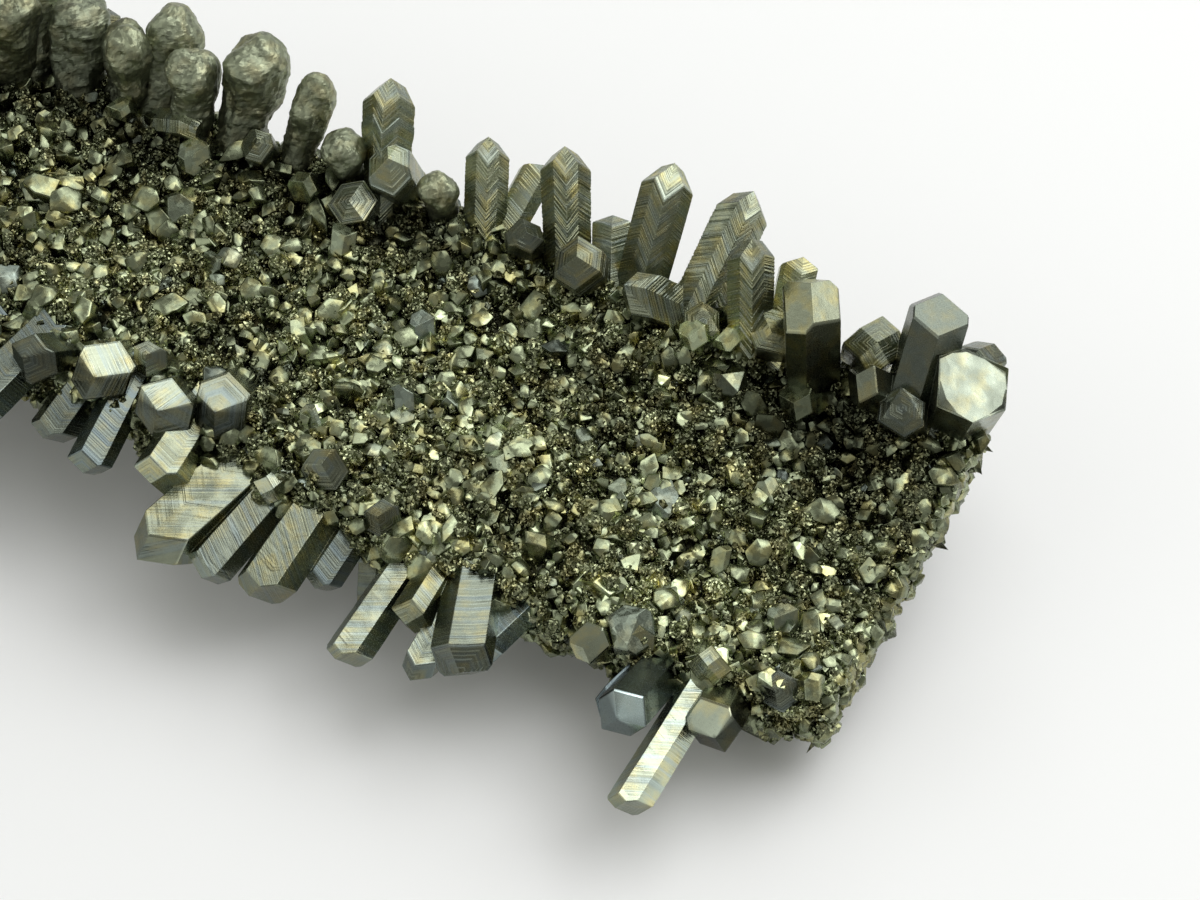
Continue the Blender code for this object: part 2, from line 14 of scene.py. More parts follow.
import bpy
import numpy as np
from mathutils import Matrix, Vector

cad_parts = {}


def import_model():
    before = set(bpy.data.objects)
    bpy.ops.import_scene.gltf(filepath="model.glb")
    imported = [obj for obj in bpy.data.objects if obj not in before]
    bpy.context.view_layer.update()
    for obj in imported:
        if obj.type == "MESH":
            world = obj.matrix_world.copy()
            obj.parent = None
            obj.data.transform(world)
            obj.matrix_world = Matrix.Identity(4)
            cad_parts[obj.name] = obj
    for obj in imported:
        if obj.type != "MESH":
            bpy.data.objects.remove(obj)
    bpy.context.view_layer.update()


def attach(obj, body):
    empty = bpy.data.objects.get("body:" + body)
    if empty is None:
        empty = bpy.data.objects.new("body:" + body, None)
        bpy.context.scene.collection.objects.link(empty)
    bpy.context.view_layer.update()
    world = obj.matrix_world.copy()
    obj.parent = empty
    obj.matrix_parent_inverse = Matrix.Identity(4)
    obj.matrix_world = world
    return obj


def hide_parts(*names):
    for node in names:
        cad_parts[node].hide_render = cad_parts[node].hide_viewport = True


Array = np.ndarray
Random = np.random.Generator
Socket = bpy.types.NodeSocket
Pair = tuple[float, float]
Colour = tuple[float, float, float]

LOG = logging.getLogger("crystal_bar")
MM = 0.001
NODE = "crystal_bar"
BODY = "root"
PRISM_ROOT = 1.3  # how deep the large crystals on the rims are rooted
LEVEL_STRIDE = 31.0  # sets each crystal's growth lines apart from the next one's


class Rim(Enum):
    """The two long rims of the bar, with the sign of Y on each."""

    FAR = 1
    NEAR = -1


class Form(Enum):
    """How a large crystal is shaped: sides under a cap of three or four, or a club."""

    THREEFOLD = 6
    FOURFOLD = 4
    KNOB = 0

    @property
    def slope(self) -> float:
        """The fall of the cap's faces, from the angle between {110} faces."""
        return 1.0 if self is Form.FOURFOLD else math.sqrt(0.5)


class Zone(Enum):
    """A part of the crust's outline, as fractions of the way round it."""

    UPPER = (-0.03, 0.53)
    LOWER = (0.5, 1.0)


def unit(vectors: Array) -> Array:
    """Scales vectors to length one.

    Args:
        vectors: An array whose last axis holds x, y and z.

    Returns:
        The same directions, each of length one.
    """
    return vectors / np.linalg.norm(vectors, axis=-1, keepdims=True)


def frames_towards(directions: Array, facings: Array) -> Array:
    """Builds rotations whose Z runs along a direction and whose X is near a facing.

    Args:
        directions: Directions for Z, (n, 3).
        facings: Vectors that X stays as near to as it can, (n, 3).

    Returns:
        Rotation matrices, (n, 3, 3), with the axes as columns.
    """
    z_axis = unit(directions)
    along = np.sum(facings * z_axis, axis=-1, keepdims=True)
    x_axis = unit(facings - z_axis * along)
    return np.stack((x_axis, np.cross(z_axis, x_axis), z_axis), axis=-1)


def points_from(x: Array, y: Array, z: Array) -> Array:
    """Stacks coordinates, spread to one shape, into points on a new last axis."""
    return np.stack(np.broadcast_arrays(x, y, z), axis=-1)


def squared_offset(values: Array, middle: float, breadth: float) -> Array:
    """The squared distance from a middle, in breadths, that a bell curve falls with."""
    return ((values - middle) / breadth) ** 2


def circle(count: int) -> Array:
    """Directions evenly spaced round a circle from +X, (count, 2)."""
    angles = 2 * np.pi * np.arange(count) / count
    return np.stack((np.cos(angles), np.sin(angles)), axis=-1)


def grid_quads(rows: int, columns: int) -> Array:
    """Faces of a grid of rows that close round on themselves.

    Args:
        rows: The number of rows, counted towards the tip.
        columns: The number of points in each row.

    Returns:
        Corner indices, (rows - 1) * columns by 4, facing outwards when the
        columns run anticlockwise seen from the tip.
    """
    row, column = np.meshgrid(np.arange(rows - 1), np.arange(columns), indexing="ij")
    following = (column + 1) % columns
    low, high = row * columns, (row + 1) * columns
    corners = (low + column, low + following, high + following, high + column)
    return np.stack(corners, axis=-1).reshape(-1, 4)


def pole_fans(rows: int, columns: int) -> tuple[Array, Array]:
    """Triangles that close a grid with two poles, which are stored after it.

    Args:
        rows: The number of rows of the grid.
        columns: The number of points in each row.

    Returns:
        Corner indices of the fan under the first row and of the one over the last.
    """
    ring = np.arange(columns)
    following = (ring + 1) % columns
    last = (rows - 1) * columns
    pole = np.full(columns, rows * columns)
    under = np.stack((following, ring, pole), axis=-1)
    over = np.stack((ring + last, following + last, pole + 1), axis=-1)
    return under, over


def for_each(faces: Array, count: int, size: int) -> Array:
    """Repeats one body's faces for many bodies of the same size in a row.

    Args:
        faces: Corner indices of one body, (f, k).
        count: The number of bodies.
        size: The number of points in each.

    Returns:
        Corner indices of them all, (count * f, k).
    """
    start = (np.arange(count) * size)[:, None, None]
    return (start + faces[None]).reshape(-1, faces.shape[1])


@dataclass(frozen=True)
class Grain:
    """Seeded smooth noise, a grid of random values read with soft blending.

    Attributes:
        seed: Seed for the values.
        size: Values along each side of the grid, which then repeats.
    """

    seed: int
    size: int = 24

    def __call__(self, points: Array, pitch: float) -> Array:
        """Reads the noise.

        Args:
            points: Places in mm, with x, y and z on the last axis.
            pitch: Size in mm of one cell of the noise.

        Returns:
            Values from -1 to 1, one for each point.
        """
        table = np.random.default_rng(self.seed).uniform(-1, 1, (self.size,) * 3)
        place = points / pitch
        cell = np.floor(place).astype(int)
        part = place - cell
        blend = part * part * (3 - 2 * part)
        total = np.zeros(points.shape[:-1])
        for corner in np.ndindex(2, 2, 2):
            index = (cell + corner) % self.size
            weight = np.where(np.array(corner) == 1, blend, 1 - blend).prod(axis=-1)
            total += weight * table[index[..., 0], index[..., 1], index[..., 2]]
        return total


@dataclass
class Shell:
    """Points, faces and finish values of one or many closed surfaces.

    Attributes:
        points: Places in mm, (n, 3).
        faces: Arrays of corner indices, one array for each count of corners.
        tone: Brightness of the metal at each point, about 1.
        film: How much bluish oxide film each point has, 0 to 1.
        level: Height in mm of each point's growth line, or 0 where there are none.
        normals: The direction that each point is shaded along, or 0 where the
            faces round it are shaded flat.
    """

    points: Array
    faces: list[Array]
    tone: Array
    film: Array
    level: Array | None = None
    normals: Array | None = None

    @staticmethod
    def joined(shells: list["Shell"]) -> "Shell":
        """Puts shells side by side in one, with their faces renumbered.

        Args:
            shells: The shells, in order.

        Returns:
            One shell that holds them all.
        """
        starts = np.cumsum([0] + [len(shell.points) for shell in shells[:-1]])
        faces = [face + s for shell, s in zip(shells, starts) for face in shell.faces]
        return Shell(
            np.concatenate([shell.points for shell in shells]),
            faces,
            np.concatenate([shell.tone for shell in shells]),
            np.concatenate([shell.film for shell in shells]),
            np.concatenate([shell.levels() for shell in shells]),
            np.concatenate([shell.directions() for shell in shells]),
        )

    def levels(self) -> Array:
        """The level of each point, 0 where none is set."""
        return np.zeros(len(self.points)) if self.level is None else self.level

    def directions(self) -> Array:
        """The direction each point is shaded along, 0 where none is set."""
        return np.zeros((len(self.points), 3)) if self.normals is None else self.normals

    def rounded(self) -> Array:
        """Whether each face is shaded smoothly, as it is where its points have normals."""
        shaded = np.any(self.directions() != 0, axis=-1)
        return np.concatenate([np.all(shaded[face], axis=1) for face in self.faces])

    def to_object(self, name: str, finish: "Finish", smooth: bool = False) -> bpy.types.Object:
        """Makes a mesh object at the origin that rides on the bar's body.

        Args:
            name: The piece's name.
            finish: The metal finish that it gets.
            smooth: Whether its faces are shaded smoothly.

        Returns:
            The new object, registered with the frame.
        """
        mesh = bpy.data.meshes.new(name)
        corners = [row for face in self.faces for row in face.tolist()]
        mesh.from_pydata(self.points * MM, [], corners)
        traits = (("tone", self.tone), ("film", self.film), ("level", self.levels()))
        for label, values in traits:
            layer = mesh.attributes.new(label, "FLOAT", "POINT")
            layer.data.foreach_set("value", values.astype(np.float32))
        rounded = self.rounded()
        mesh.polygons.foreach_set("use_smooth", rounded | smooth)
        if rounded.any():
            mesh.normals_split_custom_set_from_vertices(self.directions().tolist())
        mesh.materials.append(finish.material())
        made = bpy.data.objects.new(name, mesh)
        bpy.context.scene.collection.objects.link(made)
        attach(made, BODY)
        count = sum(len(face) * (face.shape[1] - 2) for face in self.faces)
        LOG.info("%s: %d triangles", name, count)
        return made


@dataclass(frozen=True)
class Nodes:
    """A material's node tree, with a method for each kind of node it needs.

    Attributes:
        tree: The node tree.
    """

    tree: bpy.types.NodeTree

    def add(self, kind: str, inputs: dict, output: str | int = 0, **settings: object) -> Socket:
        """Adds a node and wires it.

        Args:
            kind: The node's type, without its prefix.
            inputs: A value or a socket for each input that is set.
            output: The output that is wanted.
            **settings: The node's own settings.

        Returns:
            That output's socket.
        """
        node = self.tree.nodes.new("ShaderNode" + kind)
        for label, value in settings.items():
            setattr(node, label, value)
        self.wire(node, inputs)
        return node.outputs[output]

    def wire(self, node: bpy.types.Node, inputs: dict) -> None:
        """Sets or links inputs of a node.

        Args:
            node: The node.
            inputs: A value or a socket for each input.
        """
        for label, value in inputs.items():
            if isinstance(value, Socket):
                self.tree.links.new(value, node.inputs[label])
            else:
                node.inputs[label].default_value = value

    def attribute(self, label: str) -> Socket:
        """Reads a value stored on the mesh's points."""
        return self.add("Attribute", {}, "Fac", attribute_name=label)

    def noise(self, place: Socket, size: float, detail: float) -> Socket:
        """Noise over places, with features of a size in mm."""
        return self.add("TexNoise", {"Vector": place, "Scale": 1 / (size * MM), "Detail": detail})

    def level_noise(self, size: float) -> Socket:
        """Noise along each point's level, with features of a size in mm."""
        inputs = {"W": self.attribute("level"), "Scale": 1 / size, "Detail": 3.0}
        return self.add("TexNoise", inputs, noise_dimensions="1D")

    def span(self, value: Socket, before: Pair, after: Pair, **settings: object) -> Socket:
        """Maps a value from one range to another, and holds it there.

        Args:
            value: The value.
            before: The range that it is read over.
            after: The range that it is mapped to.
            **settings: The node's own settings.

        Returns:
            The mapped value.
        """
        inputs = {"Value": value, "From Min": before[0], "From Max": before[1]}
        inputs |= {"To Min": after[0], "To Max": after[1]}
        return self.add("MapRange", inputs, **settings)

    def bump(self, height: Socket, depth: float, normal: Socket | None) -> Socket:
        """Adds relief of a depth in mm on top of a normal, or of the plain surface."""
        base = {"Normal": normal} if normal else {}
        return self.add("Bump", {"Height": height, "Distance": depth * MM} | base)

    def blend(self, value: Socket, stops: Pair, colours: tuple[Colour, Colour]) -> Socket:
        """Blends two colours.

        Args:
            value: The value that drives the blend.
            stops: The values at which each colour is whole.
            colours: The two colours.

        Returns:
            The blended colour.
        """
        made = self.add("ValToRGB", {"Fac": value})
        for element, stop, colour in zip(made.node.color_ramp.elements, stops, colours):
            element.position = stop
            element.color = (*colour, 1.0)
        return made

    def mix(self, factor: Socket, first: Socket | Colour, second: Colour) -> Socket:
        """Mixes a colour with a fixed one."""
        first = first if isinstance(first, Socket) else (*first, 1.0)
        return self.add("MixRGB", {"Fac": factor, "Color1": first, "Color2": (*second, 1.0)})

    def scale(self, colour: Socket, value: Socket) -> Socket:
        """Multiplies a colour by a value."""
        return self.add("VectorMath", {0: colour, "Scale": value}, operation="SCALE")


@dataclass(frozen=True)
class Finish:
    """A finish of niobium: bare metal under a thin, uneven oxide film.

    Attributes:
        name: The material's name.
        clean: Colour of metal with no film.
        film: Colour of metal under the bluish film.
        warm: Colour of the yellowish patches.
        roughness: Lowest and highest roughness.
        patch_size: Size in mm of the patches of colour.
        wave_depth: Depth in mm of the slow waves in the faces.
        skin_depth: Depth in mm of the fine relief.
        skin_size: Size in mm of the fine relief.
        line_depth: Depth in mm of the growth lines.
        line_size: Usual distance in mm between them.
        line_shades: Brightness beside a growth line and in it.
        facet: How far the normal turns at random in each tiny facet of the skin.
        facet_size: Size in mm of those facets.
        facet_shades: Brightness of the darkest and of the brightest facet.
        edge_wear: Radius in mm that sharp edges are worn to.
    """

    name: str
    clean: Colour = (0.145, 0.155, 0.105)
    film: Colour = (0.115, 0.145, 0.15)
    warm: Colour = (0.2, 0.18, 0.08)
    roughness: Pair = (0.16, 0.3)
    patch_size: float = 0.9
    wave_depth: float = 0.02
    skin_depth: float = 0.003
    skin_size: float = 0.05
    line_depth: float = 0.0
    line_size: float = 0.1
    line_shades: Pair = (1.12, 0.72)
    facet: float = 0.0
    facet_size: float = 0.1
    facet_shades: Pair = (0.75, 1.3)
    edge_wear: float = 0.0

    def material(self) -> bpy.types.Material:
        """Makes the material, or finds it if it is already made.

        Patches blend the clean colour into the warm one, the film covers both,
        and each point's tone scales the result. The normal takes up the worn
        edges, the waves, the fine relief, the growth lines and the facets.

        Returns:
            The material.
        """
        made = bpy.data.materials.get(self.name)
        if made:
            return made
        made = bpy.data.materials.new(self.name)
        made.use_nodes = True
        nodes = Nodes(made.node_tree)
        place = nodes.add("TexCoord", {}, "Object")
        patches = nodes.noise(place, self.patch_size, 3.0)
        skin = nodes.noise(place, self.skin_size, 2.0)
        colour = nodes.blend(patches, (0.46, 0.7), (self.clean, self.warm))
        colour = nodes.mix(self._film(nodes), colour, self.film)
        colour = nodes.scale(colour, nodes.attribute("tone"))
        normal = None
        if self.edge_wear:
            normal = nodes.add("Bevel", {"Radius": self.edge_wear * MM}, samples=4)
        normal = nodes.bump(patches, self.wave_depth, normal)
        normal = nodes.bump(skin, self.skin_depth, normal)
        if self.line_depth:
            lines = self._lines(nodes, place)
            colour = nodes.scale(colour, nodes.span(lines, (0.0, 1.0), self.line_shades))
            normal = nodes.bump(lines, self.line_depth, normal)
        if self.facet:
            normal, cell = self._facets(nodes, place, normal)
            colour = nodes.scale(colour, nodes.span(cell, (0.0, 1.0), self.facet_shades))
        rough = nodes.span(skin, (0.3, 0.7), self.roughness)
        shader = made.node_tree.nodes["Principled BSDF"]
        inputs = {"Metallic": 1.0, "Base Color": colour, "Roughness": rough, "Normal": normal}
        nodes.wire(shader, inputs)
        return made

    def _film(self, nodes: Nodes) -> Socket:
        """Reads how much film there is, with more of it along some growth lines.

        Args:
            nodes: The material's nodes.

        Returns:
            The share of film, 0 to 1.
        """
        share = nodes.attribute("film")
        if not self.line_depth:
            return share
        bands = nodes.span(nodes.level_noise(self.line_size * 5), (0.48, 0.62), (0.0, 0.4))
        return nodes.add("Math", {0: share, 1: bands}, use_clamp=True)

    def _lines(self, nodes: Nodes, place: Socket) -> Socket:
        """Draws growth lines along each point's level, deeper in some patches.

        Args:
            nodes: The material's nodes.
            place: The places that the patches are read at.

        Returns:
            The strength of the lines, 0 to 1.
        """
        crisp = nodes.span(nodes.level_noise(self.line_size), (0.36, 0.64), (0.0, 1.0))
        strength = nodes.span(nodes.noise(place, 1.3, 1.0), (0.38, 0.62), (0.15, 1.0))
        return nodes.add("Math", {0: crisp, 1: strength}, operation="MULTIPLY")

    def _facets(self, nodes: Nodes, place: Socket, normal: Socket) -> tuple[Socket, Socket]:
        """Turns a normal by a random amount in each tiny cell of the skin.

        Args:
            nodes: The material's nodes.
            place: The places that the cells are read at.
            normal: The normal.

        Returns:
            The new normal, and a random value for each cell.
        """
        inputs = {"Vector": place, "Scale": 1 / (self.facet_size * MM)}
        random = nodes.add("TexVoronoi", inputs, "Color")
        inputs = {0: random, 1: (2 * self.facet,) * 3, 2: (-self.facet,) * 3}
        offset = nodes.add("VectorMath", inputs, operation="MULTIPLY_ADD")
        total = nodes.add("VectorMath", {0: normal, 1: offset})
        turned = nodes.add("VectorMath", {0: total}, operation="NORMALIZE")
        return turned, nodes.add("SeparateColor", {"Color": random}, "Red")


@dataclass(frozen=True)
class Strip:
    """The strip of crust: its bow, twist, trough and rounded section.

    Attributes:
        end_x: X of station 0, from which stations run towards -X.
        middle_y: Y of the strip's centre line.
        length: Length along the stations.
        stations: Stations at which the widths and heights are given.
        half_widths: Half the width at each of those stations.
        far_heights: Height of the far rim's middle at each.
        near_heights: Height of the near rim's middle at each.
        trough: How far the middle sags below the rims.
        half_thickness: Half the thickness, in the middle and at the rims.
        broken: Station where the metal starts, at the near rim and the far rim.
        squareness: How square the section's edges are, where 1 is round.
        tuck: How far the near rim pulls in at the broken end's corner.
        tuck_reach: Stations where that starts to ease off and where it ends.
        hills: Height and spacing of the skin's broad hills.
        bumps: Height and spacing of the smaller bumps on them.
        brightness: The usual brightness, how far it varies and over what distance.
        shaded_hollow: Middle and breadth across of a patch of painted shade near the broken end.
        shaded_hollow_station: Its middle and breadth along the strip.
        foot: Middle and breadth across of a band of painted shade below the far rim.
        shade_band_reach: Stations where that band begins and where it is full.
        depths: How much the patch and the band of painted shade darken the metal.
    """

    end_x: float = 31.915
    middle_y: float = 1.517
    length: float = 63.0
    stations: tuple = (0.0, 18.0, 32.0, 48.0, 63.0)
    half_widths: tuple = (8.3, 8.5, 8.2, 8.0, 7.2)
    far_heights: tuple = (6.6, 7.9, 8.4, 8.3, 7.4)
    near_heights: tuple = (3.7, 5.4, 6.9, 8.0, 7.6)
    trough: float = 0.7
    half_thickness: tuple = (1.15, 1.75)
    broken: tuple = (2.4, 1.5)
    squareness: float = 0.4
    tuck: float = 1.5
    tuck_reach: Pair = (2.0, 6.5)
    hills: Pair = (0.36, 2.6)
    bumps: Pair = (0.22, 1.1)
    brightness: tuple[float, float, float] = (1.02, 0.26, 3.4)
    shaded_hollow: Pair = (0.66, 0.33)
    shaded_hollow_station: Pair = (8.0, 6.5)
    foot: Pair = (0.78, 0.22)
    shade_band_reach: Pair = (22.0, 30.0)
    depths: Pair = (0.86, 0.66)

    def half_width(self, station: Array) -> Array:
        """Half the strip's width at a station."""
        return np.interp(station, self.stations, self.half_widths)

    def start(self, across: Array) -> Array:
        """The station where the metal starts, across the broken end."""
        return np.interp(across, (-1, 1), self.broken)

    def place(self, station: Array, across: Array, through: Array) -> Array:
        """Finds points of the strip.

        The height runs straight from the near rim to the far one, less the
        trough's parabola. The strip is thin in the middle and thick at the rims.

        Args:
            station: Distance from the broken end.
            across: From -1 at the near rim to 1 at the far rim.
            through: From -1 at the underside to 1 at the upper face.

        Returns:
            Places in mm, with x, y and z on a new last axis.
        """
        far = np.interp(station, self.stations, self.far_heights)
        near = np.interp(station, self.stations, self.near_heights)
        thin, thick = self.half_thickness
        half_thickness = thin + (thick - thin) * across**2
        height = near + (far - near) * (across + 1) / 2 - self.trough * (1 - across**2)
        full, none = self.tuck_reach
        near_end = np.clip((none - station) / (none - full), 0, 1) ** 1.5
        tuck = self.tuck * np.clip(-across, 0, 1) ** 2 * near_end
        y = self.middle_y + across * self.half_width(station) + tuck
        return points_from(self.end_x - station, y, height + through * half_thickness)

    def section(self, fraction: Array) -> tuple[Array, Array]:
        """Reads the rounded outline of the strip's section.

        It is a cosine across by a sine through, raised to a power that squares
        its edges, and measured along its length.

        Args:
            fraction: How far round, from the far rim over the upper face to the
                near rim at 0.5, and back under the strip.

        Returns:
            Across and through at each fraction, evenly spaced in mm.
        """
        samples = 1441
        angles = np.linspace(0, 2 * np.pi, samples)
        across = np.cos(angles)
        through = np.sign(np.sin(angles)) * np.abs(np.sin(angles)) ** self.squareness
        steps = np.hypot(
            np.diff(across) * self.half_widths[1],
            np.diff(through) * self.half_thickness[1],
        )
        travelled = np.concatenate(([0.0], np.cumsum(steps))) / steps.sum()
        turn = fraction % 1.0
        return np.interp(turn, travelled, across), np.interp(turn, travelled, through)

    def round_length(self) -> float:
        """The length round the section in mm, with its edges a little rounded off."""
        return 4 * self.half_widths[1] + 4 * self.half_thickness[1] * 0.8

    def skin(self, fraction: Array, station: Array) -> Array:
        """Points on the strip's skin, from fractions round it and stations."""
        across, through = self.section(fraction)
        return self.place(station, across, through)

    def outward(self, fraction: Array, station: Array) -> Array:
        """Outward directions on the strip's skin, square to two short steps on it.

        Args:
            fraction: Fractions round the section.
            station: Stations.

        Returns:
            Unit vectors, one for each point.
        """
        turn, stride = 0.012, 0.4
        around = self.skin(fraction + turn, station) - self.skin(fraction - turn, station)
        along = self.skin(fraction, station + stride) - self.skin(fraction, station - stride)
        return unit(np.cross(along, around))

    def swell(self, points: Array) -> Array:
        """How far the skin bulges, in broad hills with smaller bumps on them."""
        broad = self.hills[0] * Grain(6)(points, self.hills[1])
        return broad + self.bumps[0] * Grain(7)(points, self.bumps[1])

    def tone_and_painted_shade(self, points: Array) -> Array:
        """How bright the metal is, with painted shade in a patch and a band by the far rim.

        It is about 1 and uneven. The patch and the band of painted shade are bell
        curves, the first of them both across the strip and along it.

        Args:
            points: Places in mm.

        Returns:
            The brightness at each.
        """
        station = self.end_x - points[..., 0]
        across = (points[..., 1] - self.middle_y) / self.half_width(station)
        usual, varied, size = self.brightness
        begin, full = self.shade_band_reach
        # Painted shade: a patch in front of the far rim near the broken end, and a band below the far rim
        # further on.
        off_across = squared_offset(across, *self.shaded_hollow)
        shaded_hollow = np.exp(-off_across - squared_offset(station, *self.shaded_hollow_station))
        foot = np.exp(-squared_offset(across, *self.foot))
        foot = foot * np.clip((station - begin) / (full - begin), 0, 1)
        uneven = usual + varied * Grain(9)(points, size)
        return uneven * (1 - self.depths[0] * shaded_hollow) * (1 - self.depths[1] * foot)


@dataclass(frozen=True)
class Crust:
    """The lumpy metal under the crystals, coloured dark as painted shade in the gaps between them.

    Attributes:
        strip: The strip that it fills.
        rows: Rows of points along the strip.
        columns: Points round each row.
        sink: How deep it lies under the strip's skin.
        lumps: Height of its lumps.
        lump_sizes: Sizes of the coarse lumps and of the fine ones on them.
        shades: Usual brightness of its metal, low as painted shade, and how far that varies.
        end_rows: Rows over which each end is rounded.
        end_size: Size of the last row's section, as a share of the whole one.
    """

    strip: Strip
    rows: int = 260
    columns: int = 130
    sink: float = 0.12
    lumps: float = 0.2
    lump_sizes: Pair = (0.7, 0.3)
    shades: Pair = (0.5, 0.2)
    end_rows: int = 12
    end_size: float = 0.02

    def shell(self) -> Shell:
        """Wraps a grid of station by fraction round the section, closed at both ends.

        Near each end the section shrinks along a quarter circle to a small ring,
        which one flat face closes, so both ends are rounded over.

        Returns:
            The closed crust.
        """
        run = np.linspace(0, 1, self.rows)[:, None]
        fraction = (np.arange(self.columns) / self.columns)[None, :]
        across, through = self.strip.section(np.broadcast_to(fraction, (self.rows, self.columns)))
        edge = np.clip(np.minimum(run, 1 - run) * self.rows / self.end_rows, 0.0, 1.0)
        shrink = np.maximum(np.sqrt(edge * (2 - edge)), self.end_size)
        start = self.strip.start(across)
        station = start + (self.strip.length - start) * run
        points = self.strip.place(station, across * shrink, through * shrink)
        spread = np.broadcast_to(fraction, station.shape)
        outward = self.strip.outward(spread, station)
        coarse, fine = self.lump_sizes
        relief = Grain(3)(points, coarse) + 0.5 * Grain(4)(points, fine)
        bulge = self.lumps * relief + self.strip.swell(points) - self.sink
        points = points + outward * bulge[..., None]
        flat = points.reshape(-1, 3)
        first = np.arange(self.columns)
        last = first + (self.rows - 1) * self.columns
        quads = grid_quads(self.rows, self.columns)
        tone = self.shades[0] + self.shades[1] * Grain(5)(flat, 0.5)
        return Shell(flat, [quads, first[None, ::-1], last[None, :]], tone, np.zeros(len(flat)))


@dataclass(frozen=True)
class Bloom:
    """Many small crystals at once: six sides under a cap of three faces.

    Attributes:
        widths: Width of each crystal across its corners.
        heights: Height of each above its site.
        roots: Depth of each below its site.
        bevel: How much of each edge is worn off, or 0 for sharp edges.
        worn: How much the shading of crystals with a bevel rounds off, 0 to 1.
        uneven: Smallest and largest distance of a corner from the axis, in radii.
        stretch: Smallest and largest stretch of a section one way.
        off_axis: How far the highest point may lie from the axis, in widths.
        shades: Brightness of the highest point, of the rim and of the foot: a little painted light on top
            and painted shade at the buried foot.
    """

    widths: Array
    heights: Array
    roots: Array
    bevel: float
    worn: float
    uneven: Pair = (0.76, 1.2)
    stretch: Pair = (0.95, 1.35)
    off_axis: float = 0.15
    shades: tuple[float, float, float] = (1.1, 0.95, 0.25)

    def shell(self, sites: Array, aims: Array, tone: Array, film: Array, seed: int) -> Shell:
        """Builds the crystals.

        The cap is the lowest of three planes that fall from the highest point,
        so each of its faces is flat. Each crystal's points are its highest one,
        the cap's worn edge where it has one, the rim and the foot.

        Args:
            sites: Places that they grow from, (n, 3).
            aims: Directions that they point in, (n, 3).
            tone: Brightness of each.
            film: Oxide film on each.
            seed: Seed for their unevenness.

        Returns:
            All the crystals in one shell.
        """
        rng = np.random.default_rng(seed)
        count = len(sites)
        frames = frames_towards(aims, rng.normal(size=(count, 3)))
        corners, tip = self._sections(rng)
        ring = self._worn_ring(corners) if self.bevel else corners
        falls = (ring - tip) @ circle(3).T
        drop = Form.THREEFOLD.slope * np.max(falls, axis=-1, keepdims=True)
        top = self.heights[:, None, None]
        rim = np.concatenate((ring, top - drop), axis=-1)
        rows = [np.concatenate((tip, top), axis=-1)]
        if self.bevel:
            inner = 1 - self.bevel
            rows.append(np.concatenate((tip + (ring - tip) * inner, top - drop * inner), axis=-1))
            rim[..., 2] -= 0.4 * self.bevel * self.widths[:, None]
        foot = -np.broadcast_to(self.roots[:, None, None], (count, 1, 1))
        rows += [rim, np.concatenate((tip, foot), axis=-1)]
        local = np.concatenate(rows, axis=1)
        size = local.shape[1]
        faces = [for_each(np.array(group), count, size) for group in self._faces(ring.shape[1])]
        # Painted light: a little brighter at the highest point, and painted shade at the buried foot.
        shade = np.linspace(self.shades[0], self.shades[1], size)
        shade[-1] = self.shades[2]
        normals = self._normals(corners, falls, local) if self.bevel else np.zeros_like(local)
        return Shell(
            (np.einsum("nij,nkj->nki", frames, local) + sites[:, None, :]).reshape(-1, 3),
            faces,
            (tone[:, None] * shade).ravel(),
            np.repeat(film, size),
            normals=np.einsum("nij,nkj->nki", frames, normals).reshape(-1, 3),
        )

    def _sections(self, rng: Random) -> tuple[Array, Array]:
        """Draws each crystal's section, a stretched hexagon of uneven corners.

        Args:
            rng: Source of their unevenness.

        Returns:
            Corners, (n, 6, 2), and highest points seen from above, (n, 1, 2).
        """
        count = len(self.widths)
        reach = self.widths[:, None] / 2 * rng.uniform(*self.uneven, (count, 6))
        stretch = rng.uniform(*self.stretch, (count, 1))
        corners = reach[..., None] * circle(6) * np.stack((stretch, 1 / stretch), axis=-1)
        tip = rng.uniform(-self.off_axis, self.off_axis, (count, 1, 2))
        return corners, tip * self.widths[:, None, None]

    def _worn_ring(self, corners: Array) -> Array:
        """Replaces each corner by two points, a little way along both of its sides.

        Args:
            corners: Corners of each section, (n, 6, 2).

        Returns:
            Outlines, (n, 12, 2).
        """
        before, after = np.roll(corners, 1, axis=1), np.roll(corners, -1, axis=1)
        pair = [corners + self.bevel * (other - corners) for other in (before, after)]
        return np.stack(pair, axis=2).reshape(len(corners), 12, 2)

    def _normals(self, corners: Array, falls: Array, local: Array) -> Array:
        """Finds the directions that beveled crystals are shaded along.

        A point by the cap takes the direction of its cap face, and one by the
        rim that of its side, so the faces look flat and the worn strips between
        them look round. All of them then bend a little away from the middle.

        Args:
            corners: Corners of each section, (n, 6, 2).
            falls: Fall of each outline point to each cap face, (n, 12, 3).
            local: The crystals' points, each in its own frame.

        Returns:
            A direction for each point.
        """
        count = len(corners)
        cap = unit(points_from(*(Form.THREEFOLD.slope * circle(3).T), np.ones(3)))
        edge = np.roll(corners, -1, axis=1) - corners
        side = unit(points_from(edge[..., 1], -edge[..., 0], np.zeros((count, 6))))
        sides = np.stack((np.roll(side, 1, axis=1), side), axis=2).reshape(count, 12, 3)
        end = np.broadcast_to(np.array([0.0, 0.0, 1.0]), (count, 1, 3))
        flat = np.concatenate((end, cap[np.argmax(falls, axis=-1)], sides, -end), axis=1)
        middle = np.zeros((count, 1, 3))
        middle[..., 2] = self.heights[:, None] - 0.6 * self.widths[:, None]
        return unit(flat * (1 - self.worn) + self.worn * unit(local - middle))

